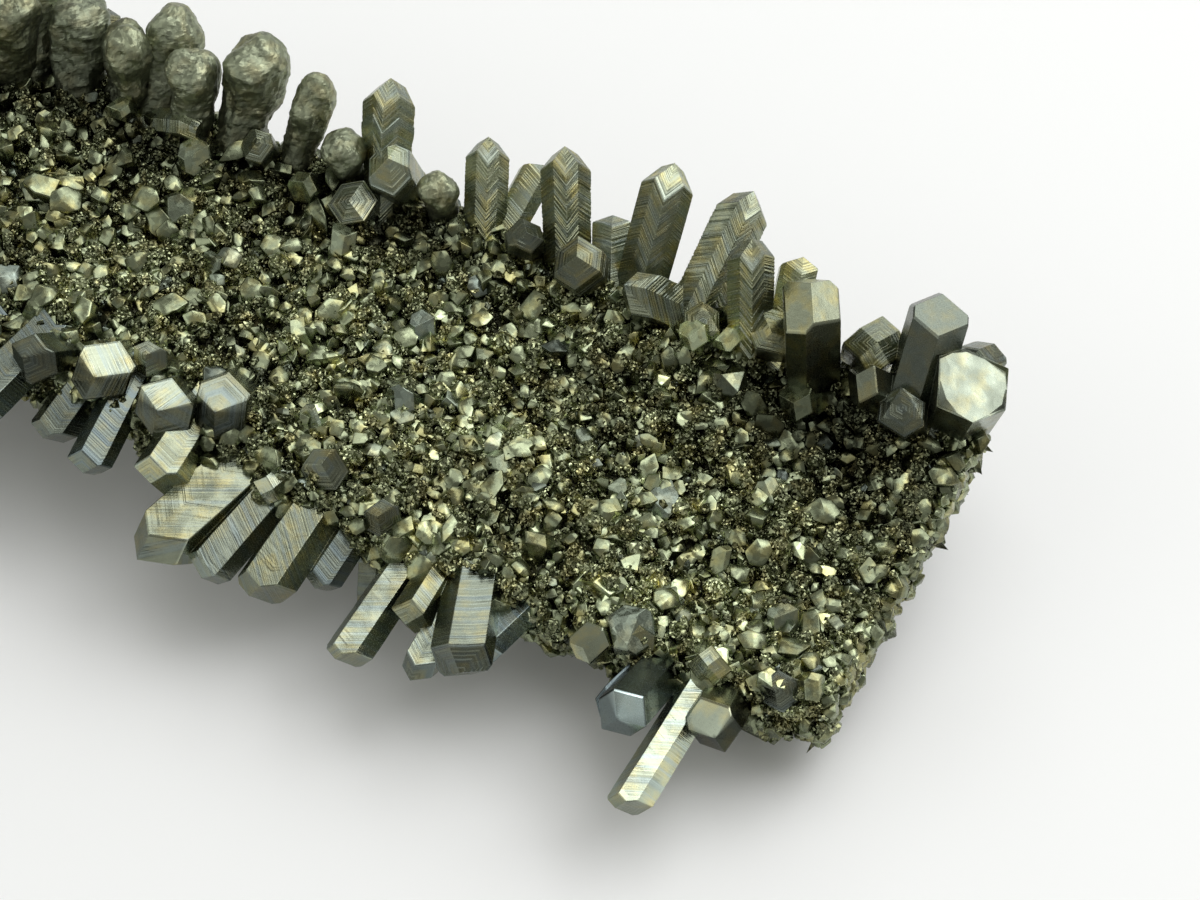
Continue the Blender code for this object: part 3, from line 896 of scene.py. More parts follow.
    def _faces(self, sides: int) -> list[list[tuple]]:
        """Lists the faces of one crystal.

        Args:
            sides: The number of points round its rim.

        Returns:
            Corner indices, grouped by their count of corners.
        """
        ring = np.arange(sides)
        after = (ring + 1) % sides
        cap = [(0, 1 + a, 1 + b) for a, b in zip(ring, after)]
        rim = 1 + sides if self.bevel else 1
        foot = rim + sides
        cap += [(a + rim, foot, b + rim) for a, b in zip(ring, after)]
        if not self.bevel:
            return [cap]
        quads = [(a + 1, a + rim, b + rim, b + 1) for a, b in zip(ring, after)]
        return [cap, quads]


@dataclass(frozen=True)
class Druse:
    """A layer of small crystals over part of the crust.

    Attributes:
        strip: The strip that it covers.
        zone: The part of the section's outline that it covers.
        reach: First and last station.
        pitch: Spacing of the crystals along a row.
        widths: Smallest and largest width.
        heights: Smallest and largest height above the skin.
        tilt: How far they lean away from the skin's outward direction.
        seed: Seed for their scatter.
        share: Share of the sites that carry a crystal.
        filmed: Share of the crystals that have a bluish film.
        bevel: How much of their edges is worn off.
        worn: How much their shading rounds off.
        painted_depth_shade: Their brightness, below 1 as painted shade on crystals that lie deeper among
            the others.
        patchy: How far they gather in patches, with fewer and smaller ones between.
        patch_size: Size of those patches.
        row_spacing: Spacing of the rows, as a share of the pitch.
        shift: How far each crystal strays from its place in the grid, in spacings.
        size_spread: How unlike their widths are.
        tone_spread: How unlike their brightness is.
        film_reach: Least and most film on a crystal that has one.
        root: Depth of each below its site.
    """

    strip: Strip
    zone: Zone
    reach: Pair
    pitch: float
    widths: Pair
    heights: Pair
    tilt: float
    seed: int
    share: float = 1.0
    filmed: float = 0.05
    bevel: float = 0.0
    worn: float = 0.0
    painted_depth_shade: float = 1.0
    patchy: float = 0.0
    patch_size: float = 1.7
    row_spacing: float = 0.87
    shift: float = 0.42
    size_spread: float = 0.32
    tone_spread: float = 0.22
    film_reach: Pair = (0.2, 0.7)
    root: float = 1.0

    def shell(self) -> Shell:
        """Scatters crystals over a staggered grid of fraction by station.

        Most are narrow, and a few are wide. The wide ones are taller too.

        Returns:
            All of them in one shell.
        """
        rng = np.random.default_rng(self.seed)
        first, last = self.zone.value
        across_count = int((last - first) * self.strip.round_length() / self.pitch)
        rows = int((self.reach[1] - self.reach[0]) / (self.pitch * self.row_spacing))
        row, column = np.meshgrid(np.arange(rows), np.arange(across_count), indexing="ij")
        row, column = row.ravel(), column.ravel()
        kept = rng.uniform(size=row.size) < self.share
        row, column = row[kept], column[kept]
        shift = rng.uniform(-self.shift, self.shift, (2, row.size))
        fraction = first + (last - first) * (column + 0.5 * (row % 2) + shift[0]) / across_count
        across, _ = self.strip.section(fraction)
        station = self.reach[0] + (row + 0.5 + shift[1]) * self.pitch * self.row_spacing
        inside = (station > self.strip.start(across)) & (station < self.strip.length)
        fraction, station = fraction[inside], station[inside]
        sites = self.strip.skin(fraction, station)
        patch = self.patchy * Grain(17)(sites, self.patch_size)
        gathered = rng.uniform(size=len(sites)) < 1.0 + 0.8 * patch
        sites, patch = sites[gathered], patch[gathered]
        outward = self.strip.outward(fraction[gathered], station[gathered])
        sites = sites + outward * self.strip.swell(sites)[:, None]
        count = len(sites)
        aims = outward + self.tilt * rng.normal(size=(count, 3)) * 0.6
        usual = 0.7 * self.widths[0] + 0.3 * self.widths[1]
        widths = usual * np.exp(rng.normal(0, self.size_spread, count) + 0.2 * patch)
        widths = np.clip(widths, *self.widths)
        heights = rng.uniform(*self.heights, count) * (0.5 + 0.5 * widths / usual)
        shade = np.exp(rng.normal(0, self.tone_spread, count))
        # Random brightness, darkened by the painted shade of deeper layers and of the strip.
        tone = self.painted_depth_shade * shade * self.strip.tone_and_painted_shade(sites)
        film = (rng.uniform(size=count) < self.filmed) * rng.uniform(*self.film_reach, count)
        bloom = Bloom(widths, heights, np.full(count, self.root), self.bevel, self.worn)
        return bloom.shell(sites, aims, tone, film, self.seed + 1)


@dataclass(frozen=True)
class EndDruse:
    """Small crystals over the two ends of the strip.

    Attributes:
        strip: The strip whose ends they cover.
        columns: Number of crystals from rim to rim.
        rows: Number of them through the strip.
        widths: Smallest and largest width.
        heights: Smallest and largest height.
        inset: How far in from the end they are set.
        root: Depth of each below its site.
        bevel: How much of their edges is worn off.
        reach: How far out they stand across and through the strip, from -1 to 1.
        shift: How far each strays from its place in the grid, both ways.
        fan: How far those by a face turn towards it.
        tilt: How far they lean at random.
        seed: Seed for their scatter.
    """

    strip: Strip
    columns: int = 29
    rows: int = 6
    widths: Pair = (0.6, 1.05)
    heights: Pair = (0.2, 0.75)
    inset: float = 0.1
    root: float = 0.9
    bevel: float = 0.12
    reach: Pair = (0.97, 0.9)
    shift: Pair = (0.03, 0.15)
    fan: float = 0.7
    tilt: float = 0.35
    seed: int = 60

    def shell(self) -> Shell:
        """Scatters crystals over a grid of across by through at both ends.

        They point straight out in the middle, and up or down towards the faces.

        Returns:
            All of them in one shell.
        """
        rng = np.random.default_rng(self.seed)
        across, through, end = np.meshgrid(
            np.linspace(-self.reach[0], self.reach[0], self.columns),
            np.linspace(-self.reach[1], self.reach[1], self.rows),
            np.array([0, 1]),
            indexing="ij",
        )
        sideways, upwards = self.shift
        across = across.ravel() + rng.uniform(-sideways, sideways, across.size)
        through = through.ravel() + rng.uniform(-upwards, upwards, through.size)
        end = end.ravel()
        first, last = self.strip.start(across) + self.inset, self.strip.length - self.inset
        station = np.where(end == 0, first, last)
        sites = self.strip.place(station, across, through * 0.9)
        outward = np.zeros((len(end), 3))
        outward[:, 0] = np.where(end == 0, 1.0, -1.0)
        outward[:, 2] = through * self.fan
        aims = unit(outward) + rng.normal(size=(len(end), 3)) * self.tilt
        widths = rng.uniform(*self.widths, len(end))
        heights = rng.uniform(*self.heights, len(end))
        tone = np.exp(rng.normal(0, 0.22, len(end)))
        bloom = Bloom(widths, heights, np.full(len(end), self.root), self.bevel, worn=0.0)
        return bloom.shell(sites, aims, tone, np.zeros(len(end)), self.seed + 1)


@dataclass(frozen=True)
class Clumps:
    """Cauliflower-like clumps of tiny crystals that sit among the druse.

    Attributes:
        strip: The strip that they sit on.
        count: Number of clumps on the upper face and rims.
        radii: Smallest and largest radius of a clump.
        margins: Lengths of the strip at its two ends that have none.
        lift: Lowest and highest place of a clump's middle over the skin, in radii.
        rows: Rows of points between a clump's poles.
        columns: Points in each row.
        jag: How far its points stand in or out, as a share of the radius.
        knurl: Height and spacing of the finer bumps on it.
        tone_spread: How unlike their brightness is.
        seed: Seed for their places and shapes.
    """

    strip: Strip
    count: int = 1150
    radii: Pair = (0.2, 0.56)
    margins: Pair = (2.4, 1.0)
    lift: Pair = (0.4, 1.1)
    rows: int = 5
    columns: int = 9
    jag: float = 0.3
    knurl: Pair = (0.18, 0.3)
    tone_spread: float = 0.2
    seed: int = 70

    def shell(self) -> Shell:
        """Sets balls with jagged skins along the strip, more of them to the broken end.

        Returns:
            All the clumps in one shell.
        """
        rng = np.random.default_rng(self.seed)
        fraction = rng.uniform(0.0, 0.5, self.count)
        span = self.strip.length - sum(self.margins)
        station = self.margins[0] + span * rng.uniform(size=self.count) ** 1.4
        centres = self.strip.skin(fraction, station)
        outward = self.strip.outward(fraction, station)
        radii = rng.uniform(*self.radii, self.count)
        lift = self.strip.swell(centres) + radii * rng.uniform(*self.lift, self.count)
        centres = centres + outward * lift[:, None]
        ball = self._ball()
        size = len(ball)
        random = rng.normal(size=(2, self.count, 3))
        frames = frames_towards(outward + 0.5 * random[0], random[1])
        reach = radii[:, None] * rng.uniform(1 - self.jag, 1 + self.jag, (self.count, size))
        spread = np.einsum("nij,kj->nki", frames, ball)
        points = centres[:, None] + spread * reach[..., None]
        points = points + spread * (self.knurl[0] * Grain(16)(points, self.knurl[1]))[..., None]
        parts = (grid_quads(self.rows, self.columns), *pole_fans(self.rows, self.columns))
        faces = [for_each(part, self.count, size) for part in parts]
        shade = np.exp(rng.normal(0.0, self.tone_spread, self.count))
        # Random brightness, times the strip's painted shade.
        tone = np.repeat(self.strip.tone_and_painted_shade(centres) * shade, size)
        return Shell(points.reshape(-1, 3), faces, tone, np.zeros(len(tone)))

    def _ball(self) -> Array:
        """Places the points of a ball of radius 1 on its rings of equal height.

        Returns:
            Points, row by row, with the lower and the upper pole last.
        """
        polar = np.linspace(0, np.pi, self.rows + 2)[1:-1, None]
        x, y = circle(self.columns).T
        ball = points_from(np.sin(polar) * x, np.sin(polar) * y, -np.cos(polar))
        return np.vstack((ball.reshape(-1, 3), [0.0, 0.0, -1.0], [0.0, 0.0, 1.0]))


@dataclass(frozen=True)
class Growth:
    """The growth marks on a large crystal's faces.

    Attributes:
        spacing: Usual distance between the lines, which run along the cap's edge.
        depth: Depth of a line, as a share of the crystal's radius.
        ledge: Height of a ledge, as a share of the radius.
        terrace: Height in mm of the steps on the cap.
        waist: How much thinner the crystal is at its root.
        gaps: Smallest and largest gap between two lines, in usual ones.
        broadness: Share of the gap under a line over which it fades out.
        steadiness: Distance under the cap's edge at which ledges are fully grown.
        strength: Least depth of a line, and of it along itself, as shares of the most.
    """

    spacing: float = 0.13
    depth: float = 0.012
    ledge: float = 0.015
    terrace: float = 0.012
    waist: float = 0.06
    gaps: Pair = (0.35, 1.65)
    broadness: float = 0.35
    steadiness: float = 0.5
    strength: Pair = (0.15, 0.3)


SATIN = Growth(spacing=0.35, depth=0.003, ledge=0.008, terrace=0.006)
CHEVRON = Growth(spacing=0.17, depth=0.06, ledge=0.01, terrace=0.012)
LINED = Growth(spacing=0.22, depth=0.006, ledge=0.01, terrace=0.008)
TERRACED = Growth(spacing=0.16, depth=0.008, ledge=0.008, terrace=0.04)
STEPPED = Growth(spacing=0.26, depth=0.04, ledge=0.05, terrace=0.012)
PLAIN = Growth(spacing=0.4, depth=0.003, ledge=0.006, terrace=0.0, waist=0.0)


@dataclass(frozen=True)
class Crystal:
    """One large crystal, in its own frame with its axis along +Z.

    Attributes:
        form: Its number of sides.
        width: Width across two opposite sides.
        length: Height of its highest point above its root.
        root: Depth that it is rooted to.
        tip: Offset of the highest point from the axis, in half widths.
        growth: Its growth marks.
        seed: Seed for its unevenness.
        uneven: How unevenly its sides lie from the axis.
        cut: How far in from the rim its cap ends in a flat top, in half widths.
        broad: The number of the side that is broader than the others, or -1.
        crown: Painted light and shade of its cap's slopes against its sides.
        nearness: Distance of a broader side from the axis, in widths.
        wear: How much of a side each of its worn corners takes.
        brim: Distance from the cap's edge to the first row under it, in widths.
        cap_rows: Rows of points on a cap without a flat top.
        cap_reach: The cap's lowest and highest row, as shares of the way out.
        foot: How far the foot's middle lies under its lowest edge.
        top_rows: Rows of points on the slopes below a flat top, and on the top.
    """

    form: Form
    width: float
    length: float
    root: float
    tip: Pair
    growth: Growth
    seed: int
    uneven: float = 0.14
    cut: float = 0.0
    broad: int = -1
    crown: float = 1.0
    nearness: float = 0.4
    wear: float = 0.015
    brim: float = 0.03
    cap_rows: int = 12
    cap_reach: Pair = (0.95, 0.12)
    foot: float = 0.05
    top_rows: tuple[int, int] = (4, 8)

    def shell(self, tone: float, film: float) -> Shell:
        """Builds the crystal as rows from its foot to its highest point.

        Args:
            tone: Brightness of its metal.
            film: Its bluish film.

        Returns:
            The closed crystal.
        """
        rng = np.random.default_rng(self.seed)
        corners = self.corners(rng)
        apex = np.array(self.tip) * self.width / 2
        outline = self.outline(corners, apex)
        fall = np.max((outline - apex) @ self.cap_directions().T, axis=-1)
        down = self._rows_down(rng)
        sides = self._sides(rng, outline, fall, down)
        steps = self._cap_steps(rng, fall)
        top = np.array([*apex, self.length - self.form.slope * self.cut * self.width / 2])
        cap = self._cap(rng, outline, fall, steps, top)
        foot = np.array([0.0, 0.0, sides[0, :, 2].min() - self.foot])
        points = np.vstack((sides.reshape(-1, 3), cap.reshape(-1, 3), foot, top))
        rows, columns = len(down) + len(steps), len(outline)
        streak = np.exp(rng.normal(0, 0.02, (rows, 1))) * np.ones(columns)
        on_top = (self.cut > 0) & (cap[..., 2] > top[2] - 0.0001)
        # Painted light and shade: the cap's slopes are scaled against the sides.
        streak[len(down) :] *= np.where(on_top, 1.0, self.crown)
        tones = tone * np.append(streak, [1.0, 1.0 if self.cut else self.crown])
        faces = [grid_quads(rows, columns), np.concatenate(pole_fans(rows, columns))]
        return Shell(points, faces, tones, np.full(len(points), film), self._levels(down, steps))

    def corners(self, rng: Random) -> Array:
        """Finds the section's corners, where sides at uneven distances meet.

        Args:
            rng: Source of their unevenness.

        Returns:
            Corners, (s, 2).
        """
        sides = self.form.value
        step = 2 * math.pi / sides
        away = self.width / 2 * (1 + self.uneven * rng.uniform(-1, 1, sides))
        if self.broad >= 0:
            away[self.broad] = self.nearness * self.width
        first = (np.arange(sides) + 0.5) * step
        second = first + step
        following = np.roll(away, -1)
        x = (away * np.sin(second) - following * np.sin(first)) / math.sin(step)
        y = (following * np.cos(first) - away * np.cos(second)) / math.sin(step)
        return np.stack((x, y), axis=-1)

    def cap_directions(self) -> Array:
        """Directions, seen from above, in which the cap's faces fall."""
        return circle(self.form.value // 2 if self.form is Form.THREEFOLD else self.form.value)

    def outline(self, corners: Array, apex: Array) -> Array:
        """Points round the outline: worn corners, points between, and ends of ridges.

        A ridge of the cap runs from its highest point, half way between two of
        its faces, and ends where it crosses a side of the section.

        Args:
            corners: The section's corners, (s, 2).
            apex: The cap's highest point seen from above.

        Returns:
            Outline points in order, (c, 2).
        """
        sides = len(corners)
        edge = np.roll(corners, -1, axis=0) - corners
        fall = self.cap_directions()
        ridge = unit(fall + np.roll(fall, -1, axis=0))
        gap = corners - apex
        cross = ridge[:, None, 0] * edge[None, :, 1] - ridge[:, None, 1] * edge[None, :, 0]
        along = (gap[:, 0] * edge[:, 1] - gap[:, 1] * edge[:, 0])[None, :] / cross
        part = gap[None, :, 0] * ridge[:, None, 1] - gap[None, :, 1] * ridge[:, None, 0]
        part = part / cross
        hit = (along > 0) & (part >= 0) & (part < 1)
        exits = (np.arange(sides)[None, :] + part)[hit]
        exits = exits[np.abs(exits - np.round(exits)) > 0.12]
        whole = np.arange(sides)
        marks = np.concatenate((whole + self.wear, whole + 0.5, whole + 1 - self.wear, exits))
        marks = np.unique(np.round(marks, 3))
        closed = np.vstack((corners, corners[:1]))
        index = np.arange(sides + 1)
        return np.stack([np.interp(marks, index, values) for values in closed.T], axis=-1)

    def _rows_down(self, rng: Random) -> Array:
        """Draws how far below the cap's edge each row of the sides lies.

        The rows come in pairs, one in a growth line and one in the gap under it.

        Args:
            rng: Source of the uneven gaps.

        Returns:
            Distances, lowest row first.
        """
        growth, whole = self.growth, self.length + self.root
        gaps = rng.uniform(*growth.gaps, max(4, int(whole / growth.spacing)))
        down = np.cumsum(gaps) / gaps.sum() * (self.length * 0.95 + self.root)
        down = np.repeat(down, 2)[:-1]
        down[1::2] += gaps[1:] / gaps.sum() * whole * growth.broadness
        return (self.brim * self.width + np.concatenate(([0.0], down)))[::-1]

    def _sides(self, rng: Random, outline: Array, fall: Array, down: Array) -> Array:
        """Builds the sides, with grooves along the growth lines, ledges and a taper.

        Each row is the cap's lower edge moved straight down, so growth lines
        cross a face at the cap's slope and meet in chevrons at the side's edges.

        Args:
            rng: Source of the marks.
            outline: Outline points.
            fall: Fall of each from the highest point.
            down: How far below the cap's edge each row lies.

        Returns:
            Points, (rows, columns, 3).
        """
        growth = self.growth
        weakest, faintest = growth.strength
        fade = rng.uniform(faintest, 1.0, (len(down), len(outline)))
        groove = np.zeros(fade.shape)
        strength = rng.uniform(weakest, 1.0, (len(groove[::2]), 1))
        groove[::2] = growth.depth * strength * fade[::2]
        ledges = np.cumsum(rng.choice((-1, 0, 0, 0, 0, 1), len(down))) * growth.ledge / 2
        ledges = np.clip(ledges - ledges[-1], -growth.ledge * 3, growth.ledge)
        ledges *= np.clip(down / growth.steadiness, 0, 1)
        taper = growth.waist * np.clip(down / self.length, 0, 1) ** 1.5
        scale = 1 - groove + (ledges - taper)[:, None]
        height = self.length - self.form.slope * fall - down[:, None]
        return np.concatenate((outline * scale[..., None], height[..., None]), axis=-1)

    def _cap_steps(self, rng: Random, fall: Array) -> Array:
        """Places the cap's rows, two of them along its flat top's edge if it has one.

        Args:
            rng: Source of the uneven steps.
            fall: Fall of each outline point from the highest point.

        Returns:
            Shares of the way out from the highest point, (rows, columns).
        """
        lowest, highest = self.cap_reach
        steps = np.linspace(lowest, highest, self.cap_rows)
        steps[1:] += rng.uniform(-0.02, 0.02, len(steps) - 1)
        if not self.cut:
            return steps[:, None] * np.ones(len(fall))
        edge = np.clip(self.cut * self.width / 2 / fall, 0.1, 0.93)
        slopes = np.linspace(0, 1, self.top_rows[0])[:, None]
        outer = lowest + (edge + 0.015 - lowest) * slopes
        inner = edge * np.linspace(1, 0.15, self.top_rows[1])[:, None]
        return np.concatenate((outer, inner))

    def _cap(self, rng: Random, outline: Array, fall: Array, steps: Array, top: Array) -> Array:
        """Builds the cap, whose rows shrink towards the highest point.

        Every other row lies a step lower than the plane of its face, and none
        stands above the flat top.

        Args:
            rng: Source of the steps' heights.
            outline: Outline points.
            fall: Fall of each from the highest point.
            steps: Shares of the way out, (rows, columns).
            top: The middle of the flat top, or the highest point.

        Returns:
            Points, (rows, columns, 3).
        """
        odd = (np.arange(len(steps)) % 2)[:, None]
        bite = self.growth.terrace * rng.uniform(0, 1, odd.shape) * odd
        height = np.minimum(self.length - self.form.slope * fall * steps - bite, top[2])
        place = top[:2] + (outline - top[:2]) * steps[..., None]
        return np.concatenate((place, height[..., None]), axis=-1)

    def _levels(self, down: Array, steps: Array) -> Array:
        """Numbers the growth lines: depth under the cap's edge, or minus the way in.

        Args:
            down: How far below the cap's edge each row of the sides lies.
            steps: Shares of the way out on the cap, (rows, columns).

        Returns:
            A level for each point, all alike where the growth has no terraces.
        """
        depths = np.broadcast_to(down[:, None], (len(down), steps.shape[1]))
        inwards = (1 - steps) * self.width / 2
        levels = np.concatenate((depths.ravel(), -inwards.ravel(), [down[0], -self.width / 2]))
        return levels * (self.growth.terrace > 0) + LEVEL_STRIDE * self.seed


@dataclass(frozen=True)
class Knob:
    """A club-shaped crystal whose stem swelled and whose tip grew over.

    Attributes:
        width: Width of its head.
        length: Height of its head above its root.
        root: Depth that it is rooted to.
        seed: Seed for its lumps.
        rows: Rows of points from its root to its top.
        columns: Points in each row.
        shoulder: Share of its height at which the stem ends and the dome begins.
        stem_heights: Shares of its height at which the stem's radius is given.
        stem_radii: That radius at each, in widths.
        dome_radius: The dome's radius at its base, in widths.
        ribs: Depth of the six shallow ribs, as a share of the radius.
        lumps: Height and spacing of its broad lumps, in widths.
        creases: Depth in widths, and spacing in mm, of the creases between them.
        pits: Depths of its coarse and of its fine pits.
        pit_sizes: Their spacings.
    """

    width: float
    length: float
    root: float
    seed: int
    rows: int = 62
    columns: int = 52
    shoulder: float = 0.76
    stem_heights: tuple = (0.0, 0.45, 0.7, 0.78)
    stem_radii: tuple = (0.42, 0.43, 0.53, 0.55)
    dome_radius: float = 0.54
    ribs: float = 0.05
    lumps: Pair = (0.12, 0.45)
    creases: Pair = (0.04, 0.6)
    pits: Pair = (0.035, 0.02)
    pit_sizes: Pair = (0.2, 0.12)

    def shell(self, tone: float, film: float) -> Shell:
        """Turns a swelling profile round the axis, then pushes lumps and pits into it.

        The stem widens as it rises and the dome over it is a quarter ellipse.
        The section is slightly six-sided. Lumps, creases and pits push points
        away from the stem's axis, and from the middle of the head above that.

        Args:
            tone: Brightness of its metal.
            film: Its bluish film.

        Returns:
            The closed knob.
        """
        level = np.linspace(0, 1, self.rows)
        level = 1 - (1 - level) ** 1.25
        stem = np.interp(level, self.stem_heights, self.stem_radii)
        over = (level - self.shoulder) / (1 - self.shoulder)
        dome = np.sqrt(np.clip(1 - over**2, 0.0004, 1)) * self.dome_radius
        radius = self.width * np.where(level > self.shoulder, dome, stem)[:, None]
        angle = (2 * np.pi * np.arange(self.columns) / self.columns)[None, :]
        height = -self.root + level[:, None] * (self.length + self.root)
        faceted = 1 - self.ribs * np.cos(3 * angle + self.seed) ** 2
        reach = radius * faceted
        points = points_from(reach * np.cos(angle), reach * np.sin(angle), height)
        offset = points + np.array([7.3 * self.seed, 0.0, 0.0])
        lumps = self.lumps[0] * self.width * Grain(11)(offset, self.width * self.lumps[1])
        crease = np.abs(Grain(12)(offset, self.creases[1])) ** 0.7
        creases = -self.creases[0] * self.width * crease
        pits = self.pits[0] * Grain(13)(offset, self.pit_sizes[0])
        pits = pits + self.pits[1] * Grain(15)(offset, self.pit_sizes[1])
        centre = np.array([0.0, 0.0, self.length - self.width * 0.5])
        away = unit(points - np.where(points[..., 2:] > centre[2], centre, points * (0, 0, 1)))
        points = points + away * (lumps + creases + pits)[..., None]
        points[..., 2] = np.minimum(points[..., 2], self.length + 0.1)
        flat = points.reshape(-1, 3)
        quads = grid_quads(self.rows, self.columns)
        ring = np.arange(self.columns)
        ends = [ring[None, ::-1], (ring + (self.rows - 1) * self.columns)[None, :]]
        mottle = 1 + 0.25 * Grain(14)(flat, 0.35)
        # Painted shade: darker down the stem, under the head.
        painted_stem_shade = np.repeat(np.interp(level, (0.3, 0.75), (0.35, 0.95)), self.columns)
        return Shell(flat, [quads, *ends], tone * mottle * painted_stem_shade, np.full(len(flat), film))


@dataclass(frozen=True)
class Prism:
    """Where a large crystal stands on the bar, and what it is like.

    Attributes:
        rim: The rim that it grows from.
        station: Its distance from the broken end.
        spread: Its turn about the rim: 0 straight out, 90 up, -90 down.
        lean: Its tilt along the bar, positive to the broken end.
        width: Its width.
        length: Its length above its root.
        turn: Its roll about its own axis.
        rise: Height of its root above the rim.
        inset: Distance of its root in from the rim.
        tip: Offset of its highest point from its axis, in half widths.
        form: Its form.
        growth: Its growth marks.
        tone: Brightness of its metal.
        film: Its bluish film, 0 to 1.
        cut: Size of the flat top on its cap, in half widths.
        broad: The number of its broadest side, or -1.
        slant: Slope of its growth lines across it, or 0 where they follow the cap.
        crown: Painted light and shade of its cap against its sides.
        shaded: How dark all but its uppermost cap face are, 0 to 1.
        shade_edge: Cosines of the turn from that face where the dark is full and ends.
        rim_reach: How far out the rims' roots lie, as a share of the half width.
        rim_lift: Rise of a root on an upright crystal, in half thicknesses.
        rim_out: Shift outwards of a root on a level crystal.
    """

    rim: Rim
    station: float
    spread: float
    lean: float
    width: float
    length: float
    turn: float = 0.0
    rise: float = 0.3
    inset: float = 0.2
    tip: Pair = (0.0, 0.0)
    form: Form = Form.THREEFOLD
    growth: Growth = SATIN
    tone: float = 1.0
    film: float = 0.2
    cut: float = 0.0
    broad: int = -1
    slant: float = 0.0
    crown: float = 1.0
    shaded: float = 0.0
    shade_edge: Pair = (0.42, 0.58)
    rim_reach: float = 0.96
    rim_lift: float = 0.7
    rim_out: float = 0.3

    def root(self, strip: Strip) -> Array:
        """Finds the place that it is rooted in, just inside the crust's rim.

        Args:
            strip: The strip that it grows from.

        Returns:
            The place in mm.
        """
        sign = self.rim.value
        spread = math.radians(self.spread)
        half_width = float(strip.half_width(np.array(self.station)))
        across = sign * (self.rim_reach - self.inset / half_width)
        lift = strip.half_thickness[1] * self.rim_lift * math.sin(spread) + self.rise
        base = strip.place(np.array(self.station), np.array(across), np.array(0.0))
        return base + np.array([0.0, sign * self.rim_out * math.cos(spread), lift])

    def direction(self) -> Array:
        """Turns its spread and lean into the way that it points.

        Returns:
            A unit vector.
        """
        spread, lean = math.radians(self.spread), math.radians(self.lean)
        out, up = math.cos(lean) * math.cos(spread), math.cos(lean) * math.sin(spread)
        return np.array([math.sin(lean), self.rim.value * out, up])

    def shell(self, strip: Strip, seed: int) -> Shell:
        """Builds the crystal in its place.

        Args:
            strip: The strip that it grows from.
            seed: Seed for its unevenness.

        Returns:
            The closed crystal, in the part's frame.
        """
        size = (self.width, self.length, PRISM_ROOT)
        if self.form is Form.KNOB:
            made = Knob(*size, seed).shell(self.tone, self.film)
        else:
            traits = {"cut": self.cut, "broad": self.broad, "crown": self.crown}
            crystal = Crystal(self.form, *size, self.tip, self.growth, seed, **traits)
            made = crystal.shell(self.tone, self.film)
        facing = np.array([0, -1, 0.3] if self.rim is Rim.FAR else [0, 0.2, 1])
        frame = frames_towards(self.direction()[None], facing[None])[0]
        turn = math.radians(self.turn)
        roll = np.array(
            [[math.cos(turn), -math.sin(turn), 0], [math.sin(turn), math.cos(turn), 0], [0, 0, 1]]
        )
        # Painted shade: all cap faces but the one that looks most upward are darkened.
        if self.shaded:
            offset = made.points[:, :2] - 0.5 * self.width * np.array(self.tip)
            upward = offset[:, 0] / np.maximum(np.hypot(offset[:, 0], offset[:, 1]), 1e-6)
            dark, lit = self.shade_edge
            made.tone = made.tone * (1 - self.shaded * np.clip((lit - upward) / (lit - dark), 0, 1))
        if self.slant and made.level is not None:
            across = made.points @ np.array([math.sin(turn), math.cos(turn), 0.0])
            made.level = self.length - made.points[:, 2] + self.slant * across
            made.level = made.level + LEVEL_STRIDE * seed
        made.points = made.points @ (frame @ roll).T + self.root(strip)
        return made


def far(*values: object, **named: object) -> Prism:
    """A large crystal on the far rim, from Prism's values after its rim."""
    return Prism(Rim.FAR, *values, **named)


def near(*values: object, **named: object) -> Prism:
    """A large crystal on the near rim, from Prism's values after its rim."""
    return Prism(Rim.NEAR, *values, **named)


FOUR = {"form": Form.FOURFOLD}
CLUB = {"form": Form.KNOB}

